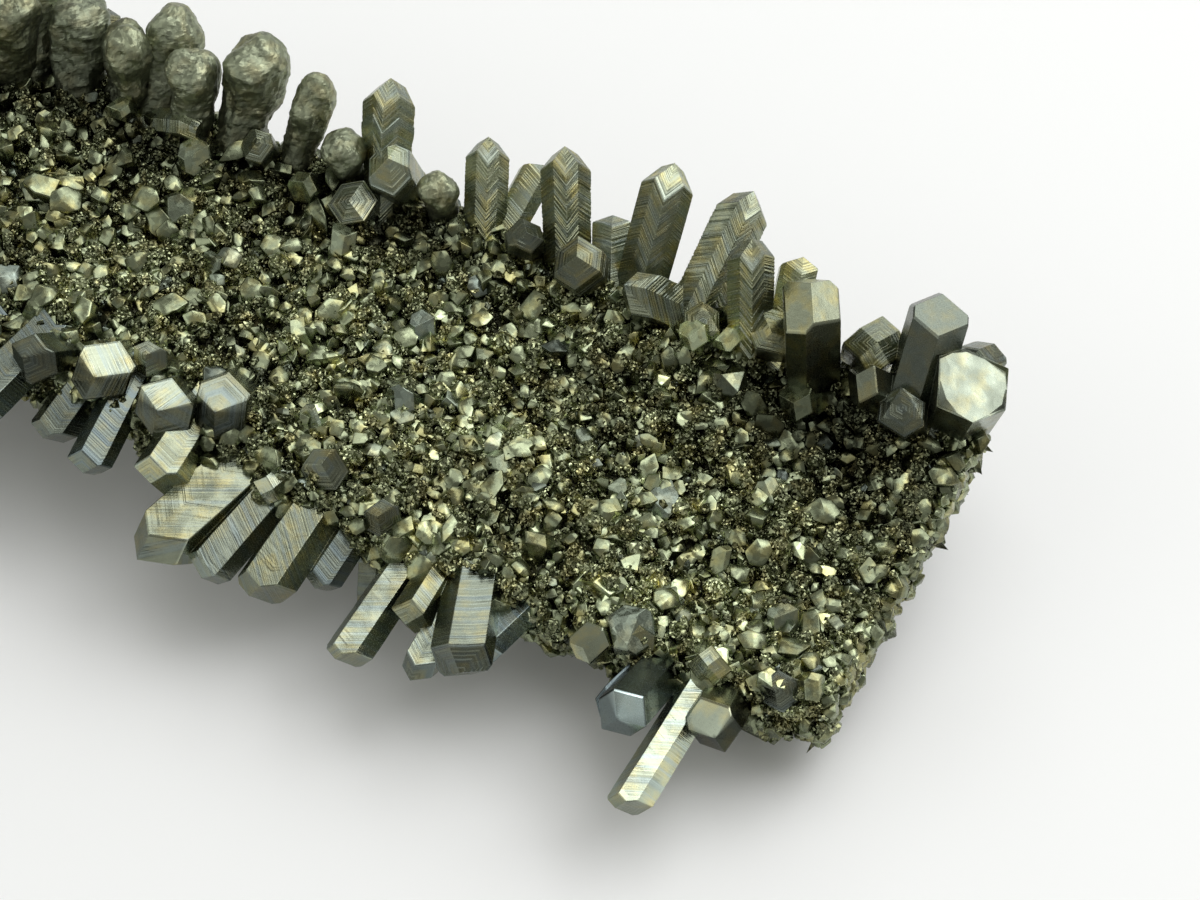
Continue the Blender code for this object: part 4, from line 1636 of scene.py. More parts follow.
FAR_PRISMS = (
    far(2.6, 102, 15, 3.2, 3.2, -28, 0.6, -0.7, growth=PLAIN, tone=2.1, film=0.0, cut=0.95, crown=0.4),
    far(3.1, 44, 12, 1.9, 3.4, 40, 0.5, -0.4, (0.1, 0.2), tone=1.4),
    far(4.7, 60, 1, 2.5, 5.2, 26, 0.6, 0.3, (-0.45, 0.0), growth=PLAIN, film=0.2, tone=0.72, crown=1.1),
    far(4.6, 120, 0, 2.1, 2.2, 20, 0.4, 0.8, (-0.2, 0.0), tone=0.8, cut=0.5),
    far(5.9, 122, -38, 2.0, 2.4, 45, 0.4, 0.2, (0.2, 0.3), growth=PLAIN, tone=0.8, crown=1.6),
    far(7.2, 112, 12, 2.2, 2.0, 25, 1.2, -1.0, (0.2, 0.0), growth=LINED, tone=2.4, film=0.0, **FOUR),
    far(9.6, 86, -5, 2.8, 4.6, -34, 0.5, 0.5, (-0.2, -0.35), growth=PLAIN, film=0.1, tone=0.75, crown=2.5),
    far(11.4, 52, -4, 1.7, 4.3, 21, 0.4, 0.2, (0.1, 0.1), growth=LINED, tone=2.6, crown=0.8, film=0.0),
    far(11.7, 112, 8, 2.4, 2.2, 50, 0.5, 0.0, (0.2, -0.2), growth=LINED, tone=1.8, film=0.0),
    far(
        12.7, 78, -7, 1.5, 5.6, 26, 0.6, 0.7, (-0.1, 0.1),
        growth=CHEVRON, film=0.0, tone=2.4, crown=0.7, **FOUR,
    ),
    far(15.2, 116, 14, 1.7, 1.8, 35, 0.1, 0.6, (0.0, 0.1), tone=1.6, film=0.0, cut=0.5),
    far(
        15.6, 54, 10, 1.9, 6.2, 22, 0.6, 0.2, (0.15, -0.1),
        growth=CHEVRON, film=0.1, tone=2.0, crown=0.8, **FOUR,
    ),
    far(16.8, 22, 18, 1.5, 3.4, 12, 0.2, growth=LINED, tone=1.6),
    far(17.0, 124, -38, 2.1, 2.6, 20, 0.8, 0.6, (0.0, 0.1), growth=LINED, tone=1.8, film=0.1, **FOUR),
    far(
        18.5, 62, 2, 1.75, 6.2, 16, 0.5, 0.2, (-0.1, 0.0),
        growth=TERRACED, film=0.0, tone=1.7, crown=1.5, **FOUR,
    ),
    far(20.2, 36, -20, 1.9, 2.8, 25, 0.5, 0.2, (0.1, 0.1), growth=LINED, tone=2.0),
    far(21.0, 117, 0, 2.1, 2.5, 21, 0.7, 0.7, (-0.2, 0.1), growth=CHEVRON, film=0.0),
    far(
        22.3, 62, -14, 1.7, 5.4, 23, 0.4, 0.2, (0.1, 0.0),
        growth=CHEVRON, film=0.0, tone=2.1, crown=0.8, **FOUR,
    ),
    far(24.4, 106, 10, 1.6, 1.9, 44, 0.4, 0.4, (0.1, 0.2), tone=0.9),
    far(25.8, 34, 8, 1.5, 3.8, 20, 0.2, 0.0, (0.0, 0.1), growth=LINED, tone=2.2, film=0.0),
    far(
        26.6, 61, -10, 1.5, 4.6, 26, 0.1, 0.2, (0.1, 0.0),
        growth=CHEVRON, film=0.0, tone=2.3, crown=0.8, **FOUR,
    ),
    far(28.8, 98, -2, 1.8, 2.1, 34, 0.4, 0.0, **CLUB),
    far(
        31.8, 64, -8, 1.9, 5.4, 12, 0.6, 0.2, (0.1, 0.1),
        growth=STEPPED, film=0.1, tone=2.3, crown=0.9, **FOUR,
    ),
    far(31.2, 115, -2, 2.3, 2.5, 28, 0.7, -0.5, (-0.1, 0.1), film=0.1, tone=2.0, growth=LINED),
    far(32.5, 118, 4, 1.9, 2.0, 0, 0.2, 1.3, (0.1, 0.0), growth=LINED, tone=1.5),
    far(33.8, 100, -3, 2.1, 2.3, 22, 0.4, -0.2, film=0.3, **CLUB),
    far(36.6, 62, 5, 1.9, 4.6, 10, 0.1, 0.2, **CLUB),
    far(38.0, 112, 0, 1.6, 1.8, 40, 0.2, 0.4, (0.0, 0.1), film=0.1, tone=1.5),
    far(39.7, 62, 3, 2.9, 5.6, 20, 0.0, 0.2, film=0.3, **CLUB),
    far(42.1, 75, 2, 2.5, 4.6, 0, 0.2, 0.7, film=0.3, **CLUB),
    far(43.9, 55, -6, 2.7, 5.1, 30, 0.2, 0.0, film=0.3, **CLUB),
    far(46.2, 62, -6, 2.0, 4.1, 45, 0.0, 0.2, tone=0.8, film=0.3, **CLUB),
    far(48.3, 62, -15, 3.1, 4.4, 5, 0.2, 0.2, tone=0.85, film=0.4, **CLUB),
    far(48.6, 26, -8, 2.0, 4.4, 15, 0.0, 0.2, (0.1, 0.1), growth=LINED),
    far(50.8, 60, -12, 2.4, 5.4, 25, 0.1, 0.2, film=0.3, **CLUB),
    far(53.2, 86, 6, 2.3, 4.0, 10, 0.1, 0.4, **CLUB),
    far(54.6, 44, -14, 2.5, 5.0, 35, 0.0, 0.2, **CLUB),
    far(57.2, 68, -20, 2.6, 4.8, 0, 0.0, 0.2, **CLUB),
    far(59.2, 40, -34, 2.3, 4.2, 20, -0.1, 0.2, **CLUB),
    far(60.8, 84, -30, 2.0, 3.2, 12, -0.2, 0.4, **CLUB),
    far(45.3, 84, -4, 2.0, 4.4, 12, 0.3, 0.3, **CLUB),
    far(51.8, 84, 4, 2.6, 5.0, 12, 0.3, 0.6, tone=0.8, **CLUB),
    far(43.4, 112, 58, 1.3, 2.8, 12, 0.5, 0.8, (0.1, 0.1), tone=2.6, film=0.1),
)

NEAR_PRISMS = (
    near(4.3, 48, 8, 1.7, 1.5, 20, 0.2, 0.7, (0.2, 0.2)),
    near(
        6.5, 28, 8, 2.1, 3.6, 38, -0.4, 0.3, (-0.3, -0.1),
        growth=PLAIN, film=0.3, tone=1.5, crown=1.5, shaded=0.85,
    ),
    near(
        7.6, -10, -5, 1.7, 7.2, 23, 1.0, 0.2, (0.4, 0.25),
        growth=LINED, film=0.25, tone=3.6, slant=0.5, crown=0.4,
    ),
    near(7.4, 58, 6, 1.5, 1.6, 10, 0.3, 0.4, (0.1, 0.1), tone=2.4, film=0.0, **FOUR),
    near(
        9.7, 27, 1, 2.2, 5.3, -34, -0.7, 0.3, (0.0, 0.1),
        growth=PLAIN, film=0.45, tone=1.0, crown=4.4, shaded=0.8,
    ),
    near(10.1, 2, -13, 1.3, 3.8, 26, 0.2, 0.3, film=1.0, tone=0.8, **FOUR),
    near(10.9, 50, 0, 1.5, 1.3, 12, 0.1, 0.5, (0.3, 0.2), growth=PLAIN, tone=1.8, film=0.0),
    near(12.6, 46, -6, 1.6, 1.5, 40, 0.1, -0.4, (-0.3, 0.1), growth=PLAIN, tone=2.2, film=0.1),
    near(16.4, -8, -18, 1.5, 2.9, 30, 0.3, 0.0, (0.1, 0.0), film=0.7, tone=2.0),
    near(18.9, 4, 20, 2.4, 5.2, -37, 0.3, 0.2, growth=TERRACED, film=0.3, tone=1.4, crown=0.6),
    near(
        19.3, -14, -2, 1.4, 5.0, 36, 0.2, 0.0, (0.1, 0.1),
        growth=STEPPED, tone=2.3, film=0.3, crown=0.4, **FOUR,
    ),
    near(20.6, 4, 2, 1.7, 3.6, 10, 0.0, 0.2, (0.1, 0.0), growth=LINED, tone=1.4, film=0.0),
    near(
        22.0, -12, -6, 1.8, 6.0, 23, 0.2, 0.2, (0.45, 0.1),
        growth=LINED, film=0.25, tone=2.5, slant=0.6, crown=0.6,
    ),
    near(23.6, 46, 10, 1.6, 1.6, 18, 0.1, 0.8, (0.3, 0.2), tone=1.6, film=0.1, shaded=0.5),
    near(25.1, -20, -8, 1.6, 3.2, 12, 0.2, 0.2, growth=LINED, film=0.5, tone=1.2, broad=5),
    near(
        26.9, -14, -6, 2.2, 5.2, 24, 0.4, 0.3, (0.2, 0.3),
        growth=LINED, film=0.1, tone=1.6, slant=-0.9, crown=0.7,
    ),
    near(27.0, 55, 10, 1.8, 1.6, 40, 0.2, 1.4, (0.35, -0.1), tone=1.9, film=0.1, shaded=0.5),
    near(28.6, 10, -10, 1.2, 2.4, 11, 0.6, 1.2, (0.1, 0.0), tone=2.2, film=0.3),
    near(
        29.0, -16, -14, 1.9, 5.4, 11, 0.3, 0.3, (0.1, -0.1),
        growth=LINED, film=0.3, tone=1.5, broad=5, slant=-0.5,
    ),
    near(
        31.0, -9, -19, 2.3, 6.1, 33, -0.15, 0.2, (0.15, 0.1),
        growth=LINED, film=0.15, tone=2.2, slant=1.0, crown=0.55, **FOUR,
    ),
    near(32.8, 44, 14, 2.5, 2.8, -2, 0.4, 2.6, (-0.1, 0.1), tone=1.9, film=0.3, shaded=0.78),
    near(33.7, 0, 3, 2.2, 3.6, 14, 1.0, 0.6, (0.1, 0.1), tone=2.0, film=0.1, broad=5),
    near(
        35.0, 46, 14, 2.4, 2.8, -8, 0.4, 1.3, (-0.15, 0.1),
        growth=LINED, film=0.2, tone=2.7, slant=0.8, shaded=0.75,
    ),
    near(36.6, 62, 6, 1.5, 2.2, 14, 0.3, 2.6, (0.1, 0.1), film=0.2, tone=2.4, shaded=0.6),
    near(37.3, -15, 2, 1.8, 4.2, 12, 1.2, 0.8, (0.1, 0.0), growth=LINED, film=0.5, tone=1.3),
    near(
        38.4, 48, 14, 2.5, 2.8, -14, 0.4, 1.5, (-0.2, 0.1),
        growth=LINED, film=0.2, tone=2.7, slant=-0.7, shaded=0.75,
    ),
    near(39.2, -20, -9, 1.8, 3.4, 12, 1.2, 0.8, (0.2, 0.1), growth=LINED, film=0.4, tone=1.1),
    near(41.0, 40, -6, 2.1, 2.6, 16, 0.4, 1.0, (0.1, 0.1), film=0.3, tone=1.5, shaded=0.6),
    near(42.2, 0, -8, 2.3, 4.6, 22, 1.0, 0.6, (0.2, 0.0), growth=LINED, film=0.4, tone=1.2),
    near(44.4, -18, -6, 2.0, 4.4, 10, 0.6, 0.4, (0.1, 0.1), growth=LINED, film=0.5),
    near(45.2, 38, 8, 2.3, 3.4, 30, 0.2, 0.6, (0.1, 0.1), film=0.4, tone=1.2, shaded=0.5),
    near(47.2, -4, -10, 2.4, 5.2, 18, 0.4, 0.2, tone=0.85, film=0.4, **CLUB),
    near(49.6, -20, -4, 2.1, 4.8, 34, 0.2, 0.2, (0.1, 0.0), growth=LINED, film=0.4),
    near(50.8, 26, 4, 2.4, 4.2, 8, 0.2, 0.4, tone=0.85, film=0.4, **CLUB),
    near(53.2, -10, -14, 2.5, 5.2, 26, 0.1, 0.2, tone=0.85, film=0.4, **CLUB),
    near(55.4, 30, -10, 2.2, 4.0, 40, 0.1, 0.4, tone=0.85, film=0.4, **CLUB),
    near(57.4, -16, -18, 2.3, 4.6, 12, 0.0, 0.2, **CLUB),
    near(59.8, 8, -32, 2.3, 4.2, 22, 0.0, 0.2, **CLUB),
)

UNDER = {"rise": 0.0, "growth": LINED}
UNDER_PRISMS = (
    far(10.4, -24, -8, 2.0, 4.0, 30, **UNDER),
    far(14.2, -52, 6, 1.7, 3.2, 0, **UNDER),
    far(22.0, -34, 10, 2.1, 4.0, 20, **UNDER),
    far(31.0, -30, 8, 2.1, 4.2, 15, **UNDER),
    far(41.0, -34, -4, 2.3, 4.2, 25, **UNDER),
    far(51.0, -36, 6, 2.2, 4.0, 10, **UNDER),
    near(24.0, -62, 10, 1.7, 3.2, 20, **UNDER),
    near(33.0, -62, -8, 1.9, 3.6, 0, **UNDER),
    near(45.0, -56, 6, 2.1, 3.8, 30, **UNDER),
)


@dataclass(frozen=True)
class Foot:
    """A crystal under the bar that stands on one face of its cap.

    Attributes:
        x: Where its axis meets the surface that the bar stands on.
        y: The same, across the bar.
        lean_azimuth: The way that it leans as it goes down, in degrees.
        width: Its width.
        sunk: How far its axis runs on into the strip.
        root: Depth that it is rooted to beyond that.
        tip: Offset of its highest point from its axis, in half widths.
        tone: Brightness of its metal.
        film: Its bluish film, 0 to 1.
    """

    x: float
    y: float
    lean_azimuth: float
    width: float
    sunk: float = 0.4
    root: float = 0.6
    tip: Pair = (-0.35, 0.0)
    tone: float = 0.9
    film: float = 0.2

    def shell(self, strip: Strip, seed: int) -> Shell:
        """Builds the foot, leaning so that one face of its cap lies level.

        The cap's faces fall by the root of a half, so the lean that levels one
        of them is the angle whose cosine is the root of two thirds.

        Args:
            strip: The strip that it holds up.
            seed: Seed for its unevenness.

        Returns:
            The closed crystal, with its lowest face at height 0.
        """
        azimuth = math.radians(self.lean_azimuth)
        lean = math.acos(math.sqrt(2.0 / 3.0))
        down = np.array([0.0, 0.0, -1.0])
        sideways = np.array([math.cos(azimuth), math.sin(azimuth), 0.0])
        axis = down * math.cos(lean) + sideways * math.sin(lean)
        frame = frames_towards(axis[None], down[None])[0]
        station = np.array(strip.end_x - self.x)
        across = (self.y - strip.middle_y) / strip.half_width(station)
        height = (strip.place(station, across, np.array(-1.0))[2] + self.sunk) / math.cos(lean)
        crystal = Crystal(Form.THREEFOLD, self.width, height, self.root, self.tip, PLAIN, seed)
        made = crystal.shell(self.tone, self.film)
        start = np.array([self.x, self.y, 0.0]) - axis * height
        made.points = made.points @ frame.T + start
        made.points[:, 2] -= made.points[:, 2].min()
        return made


FEET = (
    Foot(26.6, -4.9, -60, 2.4),
    Foot(25.2, 8.7, 50, 2.6),
    Foot(-22.9, -5.1, -130, 2.9),
    Foot(-21.4, 8.1, 130, 2.8),
    Foot(3.1, 8.3, 70, 2.3),
)


@dataclass(frozen=True)
class Outcrop:
    """A larger crystal on the broad face.

    Attributes:
        station: Its distance from the broken end.
        across: From -1 at the near rim to 1 at the far rim.
        width: Its width.
        height: Its height above the skin.
        tilt: Its lean towards the broken end and towards the far rim, in degrees.
        tone: Brightness of its metal.
        film: Its bluish film, 0 to 1.
        cut: Size of the flat top on its cap, in half widths.
        crown: Painted light and shade of its cap's slopes against the rest.
        root: Depth that it is rooted to.
        off_axis: How far its highest point lies from its axis, in half widths.
        uneven: How unevenly its sides lie from the axis.
    """

    station: float
    across: float
    width: float
    height: float
    tilt: Pair
    tone: float = 1.0
    film: float = 0.4
    cut: float = 0.0
    crown: float = 1.0
    root: float = 0.9
    off_axis: float = 0.45
    uneven: float = 0.32

    def shell(self, strip: Strip, seed: int) -> Shell:
        """Builds the crystal, standing out of the druse.

        Args:
            strip: The strip that it grows from.
            seed: Seed for its unevenness.

        Returns:
            The closed crystal, in the part's frame.
        """
        site = strip.place(np.array(self.station), np.array(self.across), np.array(1.0))
        site[2] += strip.swell(site)
        along, across = (math.radians(tilt) for tilt in self.tilt)
        aim = np.array([math.tan(along), math.tan(across), 1.0])
        frame = frames_towards(aim[None], np.array([[1.0, 0.3 * math.sin(seed), 0.0]]))[0]
        tip = (self.off_axis * math.sin(1.3 * seed), self.off_axis * math.cos(2.1 * seed))
        size = (self.width, self.height, self.root)
        traits = {"uneven": self.uneven, "cut": self.cut, "crown": self.crown}
        crystal = Crystal(Form.THREEFOLD, *size, tip, PLAIN, seed, **traits)
        made = crystal.shell(self.tone, self.film)
        made.points = made.points @ frame.T + site
        return made


def glint(station: float, across: float, width: float, tone: float = 2.2) -> Outcrop:
    """Places a small crystal whose flat top is turned to catch the key light.

    Args:
        station: Its distance from the broken end.
        across: From -1 at the near rim to 1 at the far rim.
        width: Its width.
        tone: Brightness of its metal.

    Returns:
        The crystal.
    """
    return Outcrop(station, across, width, 0.8, (14, -11), tone, 0.0, cut=0.8, crown=0.5)


OUTCROPS = (
    Outcrop(26.7, 0.28, 1.3, 1.3, (8, -40), 1.8, 0.6),
    Outcrop(25.7, -0.23, 1.5, 1.3, (-12, -35), 1.8, 0.6),
    Outcrop(15.2, -0.16, 1.0, 1.0, (20, -30), 1.3, 0.3),
    Outcrop(13.0, -0.13, 1.7, 1.0, (12, -20), 1.5, 0.6, cut=0.5),
    Outcrop(8.8, 0.16, 1.3, 1.1, (-5, -15), 0.9, 0.2),
    Outcrop(20.2, -0.32, 1.2, 1.0, (0, -10), 1.0, 0.2),
    Outcrop(32.2, 0.56, 1.4, 1.2, (15, -20), 1.0, 0.2),
    Outcrop(37.0, 0.08, 1.2, 1.1, (0, -15), 1.1, 0.4),
    Outcrop(15.0, 0.82, 1.5, 1.5, (-10, -45), 2.6, 0.1),
    Outcrop(13.5, 0.88, 1.3, 1.4, (6, -50), 2.8, 0.0),
    Outcrop(14.2, 0.95, 0.6, 2.2, (28, -15), 1.5, 0.1),
    Outcrop(12.8, 0.66, 1.6, 1.2, (16, -8), 1.1, 0.3, cut=0.4, crown=0.4),
    Outcrop(9.5, 0.72, 1.7, 1.4, (-14, -38), 0.8, 0.1),
    Outcrop(9.5, -0.3, 1.2, 0.9, (10, -15), 1.0, 0.0),
    Outcrop(5.6, -0.48, 1.4, 1.1, (0, -30), 1.0, 0.3),
    Outcrop(11.3, -0.94, 1.8, 1.0, (4, -16), 1.0, 0.5, cut=0.5),
    Outcrop(29.1, -0.56, 1.2, 1.0, (10, -20), 1.3, 0.4),
    Outcrop(23.8, 0.24, 1.1, 1.0, (20, 15), 1.0, 0.1),
    Outcrop(31.8, -0.08, 1.3, 1.1, (-25, 0), 1.3, 0.0),
    Outcrop(40.2, 0.36, 1.4, 1.2, (-15, -25), 1.0, 0.3),
    Outcrop(40.8, 0.74, 1.4, 1.5, (5, -45), 1.4, 0.3),
    Outcrop(45.2, 0.86, 1.4, 1.6, (0, -40), 1.2, 0.1),
    Outcrop(35.1, 0.78, 1.5, 1.5, (-5, -40), 1.1, 0.1),
    Outcrop(46.8, 0.12, 1.5, 1.3, (10, -10), 1.0, 0.3),
    Outcrop(50.5, -0.4, 1.6, 1.4, (-10, 10), 1.0, 0.3),
    Outcrop(55.0, 0.3, 1.6, 1.3, (-15, 15), 1.0, 0.3),
    Outcrop(5.0, -0.9, 1.2, 0.9, (25, -35), 1.6, 0.1),
    Outcrop(4.0, -0.82, 0.9, 0.8, (-20, -30), 1.9, 0.0),
    Outcrop(3.2, -0.93, 1.1, 0.9, (40, -20), 1.3, 0.1),
    glint(4.3, -0.95, 0.5),
    Outcrop(16.8, -0.72, 1.4, 1.1, (15, 20), 0.9, 0.1),
    glint(6.6, -0.08, 0.8),
    glint(5.1, -0.1, 0.75),
    glint(4.2, -0.42, 0.85),
    glint(7.1, -0.65, 0.55),
    glint(12.9, -0.57, 0.9, 1.5),
    glint(10.9, -0.39, 0.7, 1.2),
    glint(7.3, -0.9, 0.9),
    glint(15.6, 0.5, 0.5),
    glint(13.9, 0.34, 0.7, 1.7),
    glint(33.0, -0.3, 0.8, 1.8),
    glint(27.6, 0.05, 0.7, 1.6),
    glint(38.5, 0.2, 0.9, 1.5),
)

NEAR_FINISH = Finish("niobium_satin", line_depth=0.009, line_size=0.09, edge_wear=0.03)
FAR_FINISH = Finish(
    "niobium_lined", roughness=(0.22, 0.36), line_depth=0.03, line_size=0.11, edge_wear=0.03
)
DRUSE_FINISH = Finish(
    "niobium_druse",
    clean=(0.205, 0.231, 0.146),
    warm=(0.28, 0.265, 0.12),
    wave_depth=0.008,
    roughness=(0.2, 0.36),
    skin_depth=0.005,
    skin_size=0.12,
    facet=0.05,
    facet_size=0.3,
)
CRUMB_FINISH = Finish(
    "niobium_crumb",
    clean=(0.25, 0.272, 0.16),
    warm=(0.28, 0.262, 0.125),
    roughness=(0.2, 0.34),
    skin_depth=0.01,
    facet=1.1,
    facet_size=0.1,
)
OUTCROP_FINISH = replace(DRUSE_FINISH, name="niobium_outcrop", facet=0.06, edge_wear=0.06)
KNOB_FINISH = Finish(
    "niobium_knob",
    clean=(0.29, 0.31, 0.2),
    film=(0.2, 0.24, 0.2),
    warm=(0.33, 0.31, 0.17),
    roughness=(0.4, 0.54),
    skin_depth=0.007,
    facet=0.12,
    facet_size=0.2,
)
# The crust is darker than the crystals' metal: painted shade in the gaps between them.
CRUST_FINISH = Finish("niobium_crust", clean=(0.12, 0.125, 0.08), roughness=(0.45, 0.6), facet=0.4)


@dataclass(frozen=True)
class Softbox:
    """A soft rectangular light.

    Attributes:
        name: Its name.
        offset: Its place in metres from the point that it faces.
        size: Its width and height in metres.
        glow: Its brightness as seen, where a lit white floor is about 1.
        tint: Its colour.
    """

    name: str
    offset: tuple[float, float, float]
    size: Pair
    glow: float
    tint: Colour = (0.99, 0.99, 1.0)

    def hang(self, aim: Vector) -> None:
        """Hangs the light so that it faces a point.

        Args:
            aim: The point in metres.
        """
        data = bpy.data.lights.new(self.name, "AREA")
        data.shape = "RECTANGLE"
        data.size, data.size_y = self.size
        data.energy = self.glow * math.pi * self.size[0] * self.size[1]
        data.color = self.tint
        lamp = bpy.data.objects.new(self.name, data)
        lamp.location = aim + Vector(self.offset)
        lamp.rotation_euler = (aim - lamp.location).to_track_quat("-Z", "Y").to_euler()
        bpy.context.scene.collection.objects.link(lamp)


LIGHTS = (
    Softbox("key", (0.07, 0.09, 0.38), (0.42, 0.36), 1.65),
    Softbox("side", (0.21, 0.2, 0.32), (0.32, 0.26), 2.1),
    Softbox("window", (-0.1, 0.45, 0.3), (0.5, 0.3), 1.4, (0.97, 0.99, 1.0)),
    Softbox("wall", (-0.34, -0.26, 0.2), (0.5, 0.4), 0.8, (0.98, 1.0, 0.98)),
)


@dataclass(frozen=True)
class Studio:
    """A pale floor, four large soft lights and the camera.

    The key hangs overhead, the side light stands by the broken end, the window
    is behind the bar, and the wall throws a weak light back from the left.

    Attributes:
        aim: The point in mm that the camera and the lights look at.
        azimuth: The camera's angle round the bar, in degrees.
        elevation: The camera's angle above the floor, in degrees.
        distance: The camera's distance from the aim in mm.
        view_width: Width in mm that the camera sees at that distance.
        sensor: The camera's sensor width in mm.
        floor_half: Half the floor's side in metres.
        floor_fade: Distances in metres from the bar where the floor dims.
        floor_shades: The floor's grey near the bar and far away.
        floor_roughness: The floor's roughness.
        surround: Strength and colour of the even light all round.
    """

    aim: tuple[float, float, float] = (15.215, 1.517, 7.145)
    azimuth: float = 26.0
    elevation: float = 52.0
    distance: float = 160.0
    view_width: float = 54.5
    sensor: float = 36.0
    floor_half: float = 0.6
    floor_fade: Pair = (0.07, 0.2)
    floor_shades: tuple[Colour, Colour] = ((0.86, 0.865, 0.86), (0.2, 0.2, 0.2))
    floor_roughness: float = 0.9
    surround: tuple[float, Colour] = (0.4, (1.0, 1.0, 0.95))

    def build(self) -> None:
        """Makes the floor, the lights, the world and the camera."""
        self._floor()
        for light in LIGHTS:
            light.hang(Vector(self.aim) * MM)
        self._world()
        self._camera()
        bpy.context.scene.view_settings.view_transform = "Standard"
        LOG.info("studio: floor, lights, world and camera")

    def _floor(self) -> None:
        """Lays a pale sheet under the bar, which dims far away from it."""
        mesh = bpy.data.meshes.new("floor")
        half = self.floor_half
        corners = [(-half, -half, 0), (half, -half, 0), (half, half, 0), (-half, half, 0)]
        mesh.from_pydata(corners, [], [(0, 1, 2, 3)])
        paper = bpy.data.materials.new("paper")
        paper.use_nodes = True
        nodes = Nodes(paper.node_tree)
        place = nodes.add("TexCoord", {}, "Object")
        away = nodes.add("VectorMath", {0: place}, "Value", operation="LENGTH")
        ring = nodes.span(away, self.floor_fade, (0.0, 1.0), interpolation_type="SMOOTHSTEP")
        inputs = {"Base Color": nodes.mix(ring, *self.floor_shades)}
        inputs["Roughness"] = self.floor_roughness
        nodes.wire(paper.node_tree.nodes["Principled BSDF"], inputs)
        mesh.materials.append(paper)
        floor = bpy.data.objects.new("floor", mesh)
        bpy.context.scene.collection.objects.link(floor)

    def _world(self) -> None:
        """Sets a dim, even surround."""
        world = bpy.data.worlds.new("surround")
        world.use_nodes = True
        background = world.node_tree.nodes["Background"]
        strength, colour = self.surround
        background.inputs["Color"].default_value = (*colour, 1.0)
        background.inputs["Strength"].default_value = strength
        bpy.context.scene.world = world

    def _camera(self) -> None:
        """Sets the camera, which looks at the aim from its azimuth and elevation."""
        data = bpy.data.cameras.new("camera")
        data.sensor_width = self.sensor
        data.lens = self.sensor * self.distance / self.view_width
        data.clip_start = 0.001
        camera = bpy.data.objects.new("camera", data)
        azimuth, elevation = math.radians(self.azimuth), math.radians(self.elevation)
        level = math.cos(elevation)
        east, north = math.sin(azimuth) * level, math.cos(azimuth) * level
        back = Vector((east, -north, math.sin(elevation)))
        camera.location = (Vector(self.aim) + back * self.distance) * MM
        camera.rotation_euler = (-back).to_track_quat("-Z", "Y").to_euler()
        bpy.context.scene.collection.objects.link(camera)
        bpy.context.scene.camera = camera


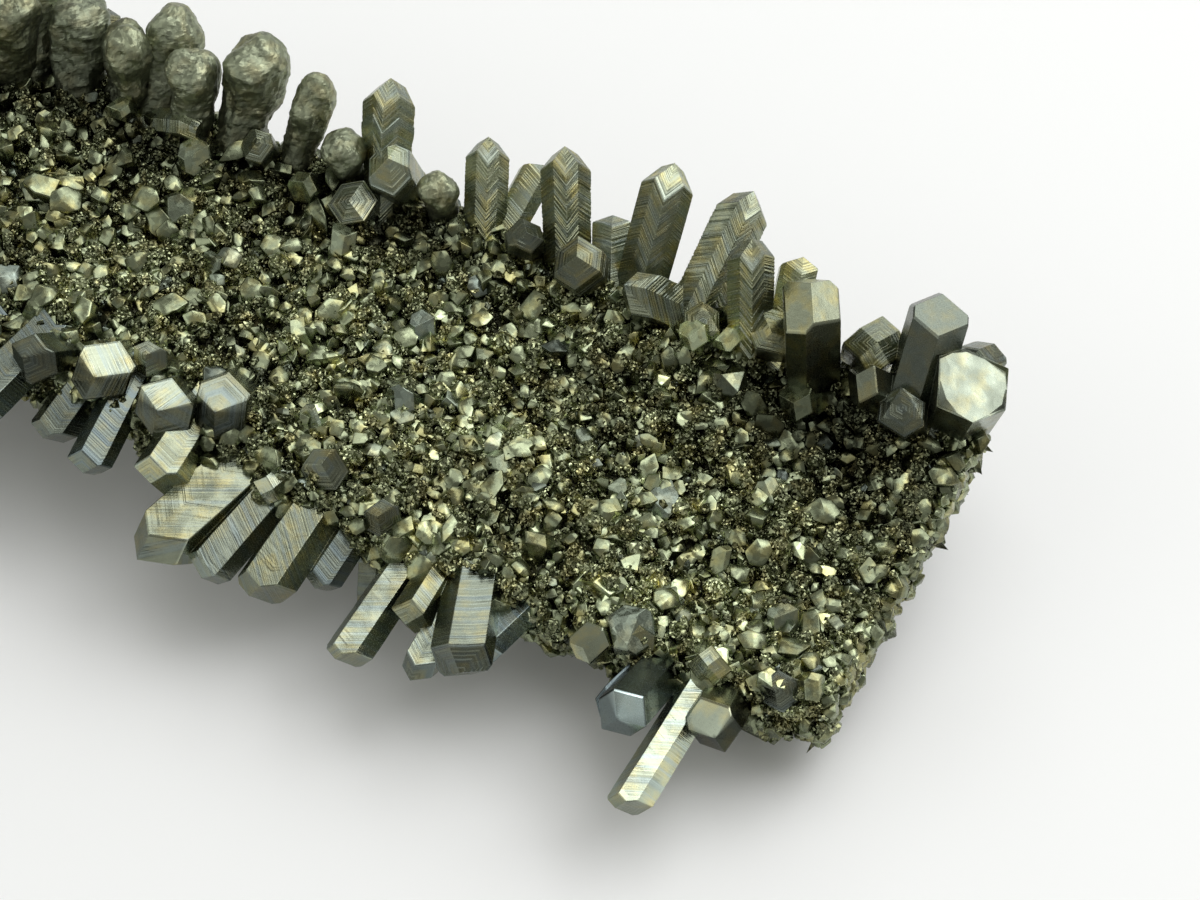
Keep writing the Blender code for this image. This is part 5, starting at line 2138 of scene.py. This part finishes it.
@dataclass
class CrystalBar:
    """The whole bar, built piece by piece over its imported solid.

    Attributes:
        strip: The strip that everything grows on.
        right: First and last station of the visible half's druse.
        left: The same for the other half.
        whole: The same for the under side.
    """

    strip: Strip = field(default_factory=Strip)
    right: Pair = (1.5, 31.0)
    left: Pair = (31.0, 63.0)
    whole: Pair = (1.5, 63.0)

    def build(self) -> None:
        """Builds every piece and hides the solid that they stand for."""
        crust = Crust(self.strip).shell().to_object("crust", CRUST_FINISH, smooth=True)
        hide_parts(NODE)
        self._upper()
        self._lower()
        self._between()
        Clumps(self.strip).shell().to_object("clumps", CRUMB_FINISH)
        self._large("far_crystals", FAR_PRISMS, 100, FAR_FINISH)
        self._large("near_crystals", NEAR_PRISMS, 200, NEAR_FINISH)
        self._large("under_crystals", UNDER_PRISMS + FEET, 300, NEAR_FINISH)
        self._large("outcrops", OUTCROPS, 400, OUTCROP_FINISH)

    def _layer(self, name: str, finish: Finish, *parts: Druse | EndDruse) -> None:
        """Joins layers of small crystals into one piece."""
        Shell.joined([part.shell() for part in parts]).to_object(name, finish)

    def _upper(self) -> None:
        """Covers the upper face and the ends, coarser on the left."""
        right = Druse(
            self.strip, Zone.UPPER, self.right, pitch=0.55, widths=(0.45, 1.55),
            heights=(0.3, 0.95), tilt=0.9, seed=21, bevel=0.06, patchy=0.55,
        )
        left = replace(
            right, reach=self.left, pitch=0.68, widths=(0.45, 1.75), heights=(0.3, 1.1),
            seed=22, bevel=0.09, worn=0.03, patchy=0.7,
        )
        self._layer("druse_right", DRUSE_FINISH, right, EndDruse(self.strip))
        self._layer("druse_left", DRUSE_FINISH, left)

    def _lower(self) -> None:
        """Covers the under side with broad crystals and small ones between them."""
        broad = Druse(
            self.strip, Zone.LOWER, self.whole, pitch=0.8, widths=(0.6, 1.5),
            heights=(0.2, 0.7), tilt=0.75, seed=31, bevel=0.12,
        )
        small = replace(
            broad, pitch=0.6, widths=(0.3, 0.7), heights=(0.1, 0.5), tilt=0.9, seed=32,
            share=0.6, bevel=0.0, painted_depth_shade=0.8,
        )
        self._layer("druse_lower", DRUSE_FINISH, broad, small)

    def _between(self) -> None:
        """Fills the gaps of the upper face with small crystals, painted darker as shade."""
        right = Druse(
            self.strip, Zone.UPPER, self.right, pitch=0.38, widths=(0.2, 0.7),
            heights=(0.2, 0.8), tilt=0.9, seed=23, share=0.75, painted_depth_shade=0.85,
        )
        left = replace(
            right, reach=self.left, pitch=0.44, widths=(0.22, 0.8), heights=(0.2, 0.9),
            seed=24, share=0.7, painted_depth_shade=0.75,
        )
        self._layer("druse_small", CRUMB_FINISH, right, left)

    def _large(self, name: str, group: tuple, first_seed: int, finish: Finish) -> None:
        """Builds one group of large crystals, with knobs as a piece of their own.

        Args:
            name: The piece's name.
            group: The crystals.
            first_seed: Seed of the first one. The others' follow on.
            finish: The finish of all but the knobs.
        """
        shells = {False: [], True: []}
        for number, item in enumerate(group):
            club = getattr(item, "form", None) is Form.KNOB
            shells[club].append(item.shell(self.strip, first_seed + number))
        if shells[False]:
            Shell.joined(shells[False]).to_object(name, finish)
        if shells[True]:
            Shell.joined(shells[True]).to_object(name + "_knobs", KNOB_FINISH)


def main() -> None:
    """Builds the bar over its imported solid, then the studio round it."""
    logging.basicConfig(level=logging.INFO, format="%(name)s: %(message)s")
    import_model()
    CrystalBar().build()
    Studio().build()


if __name__ == "__main__":
    main()
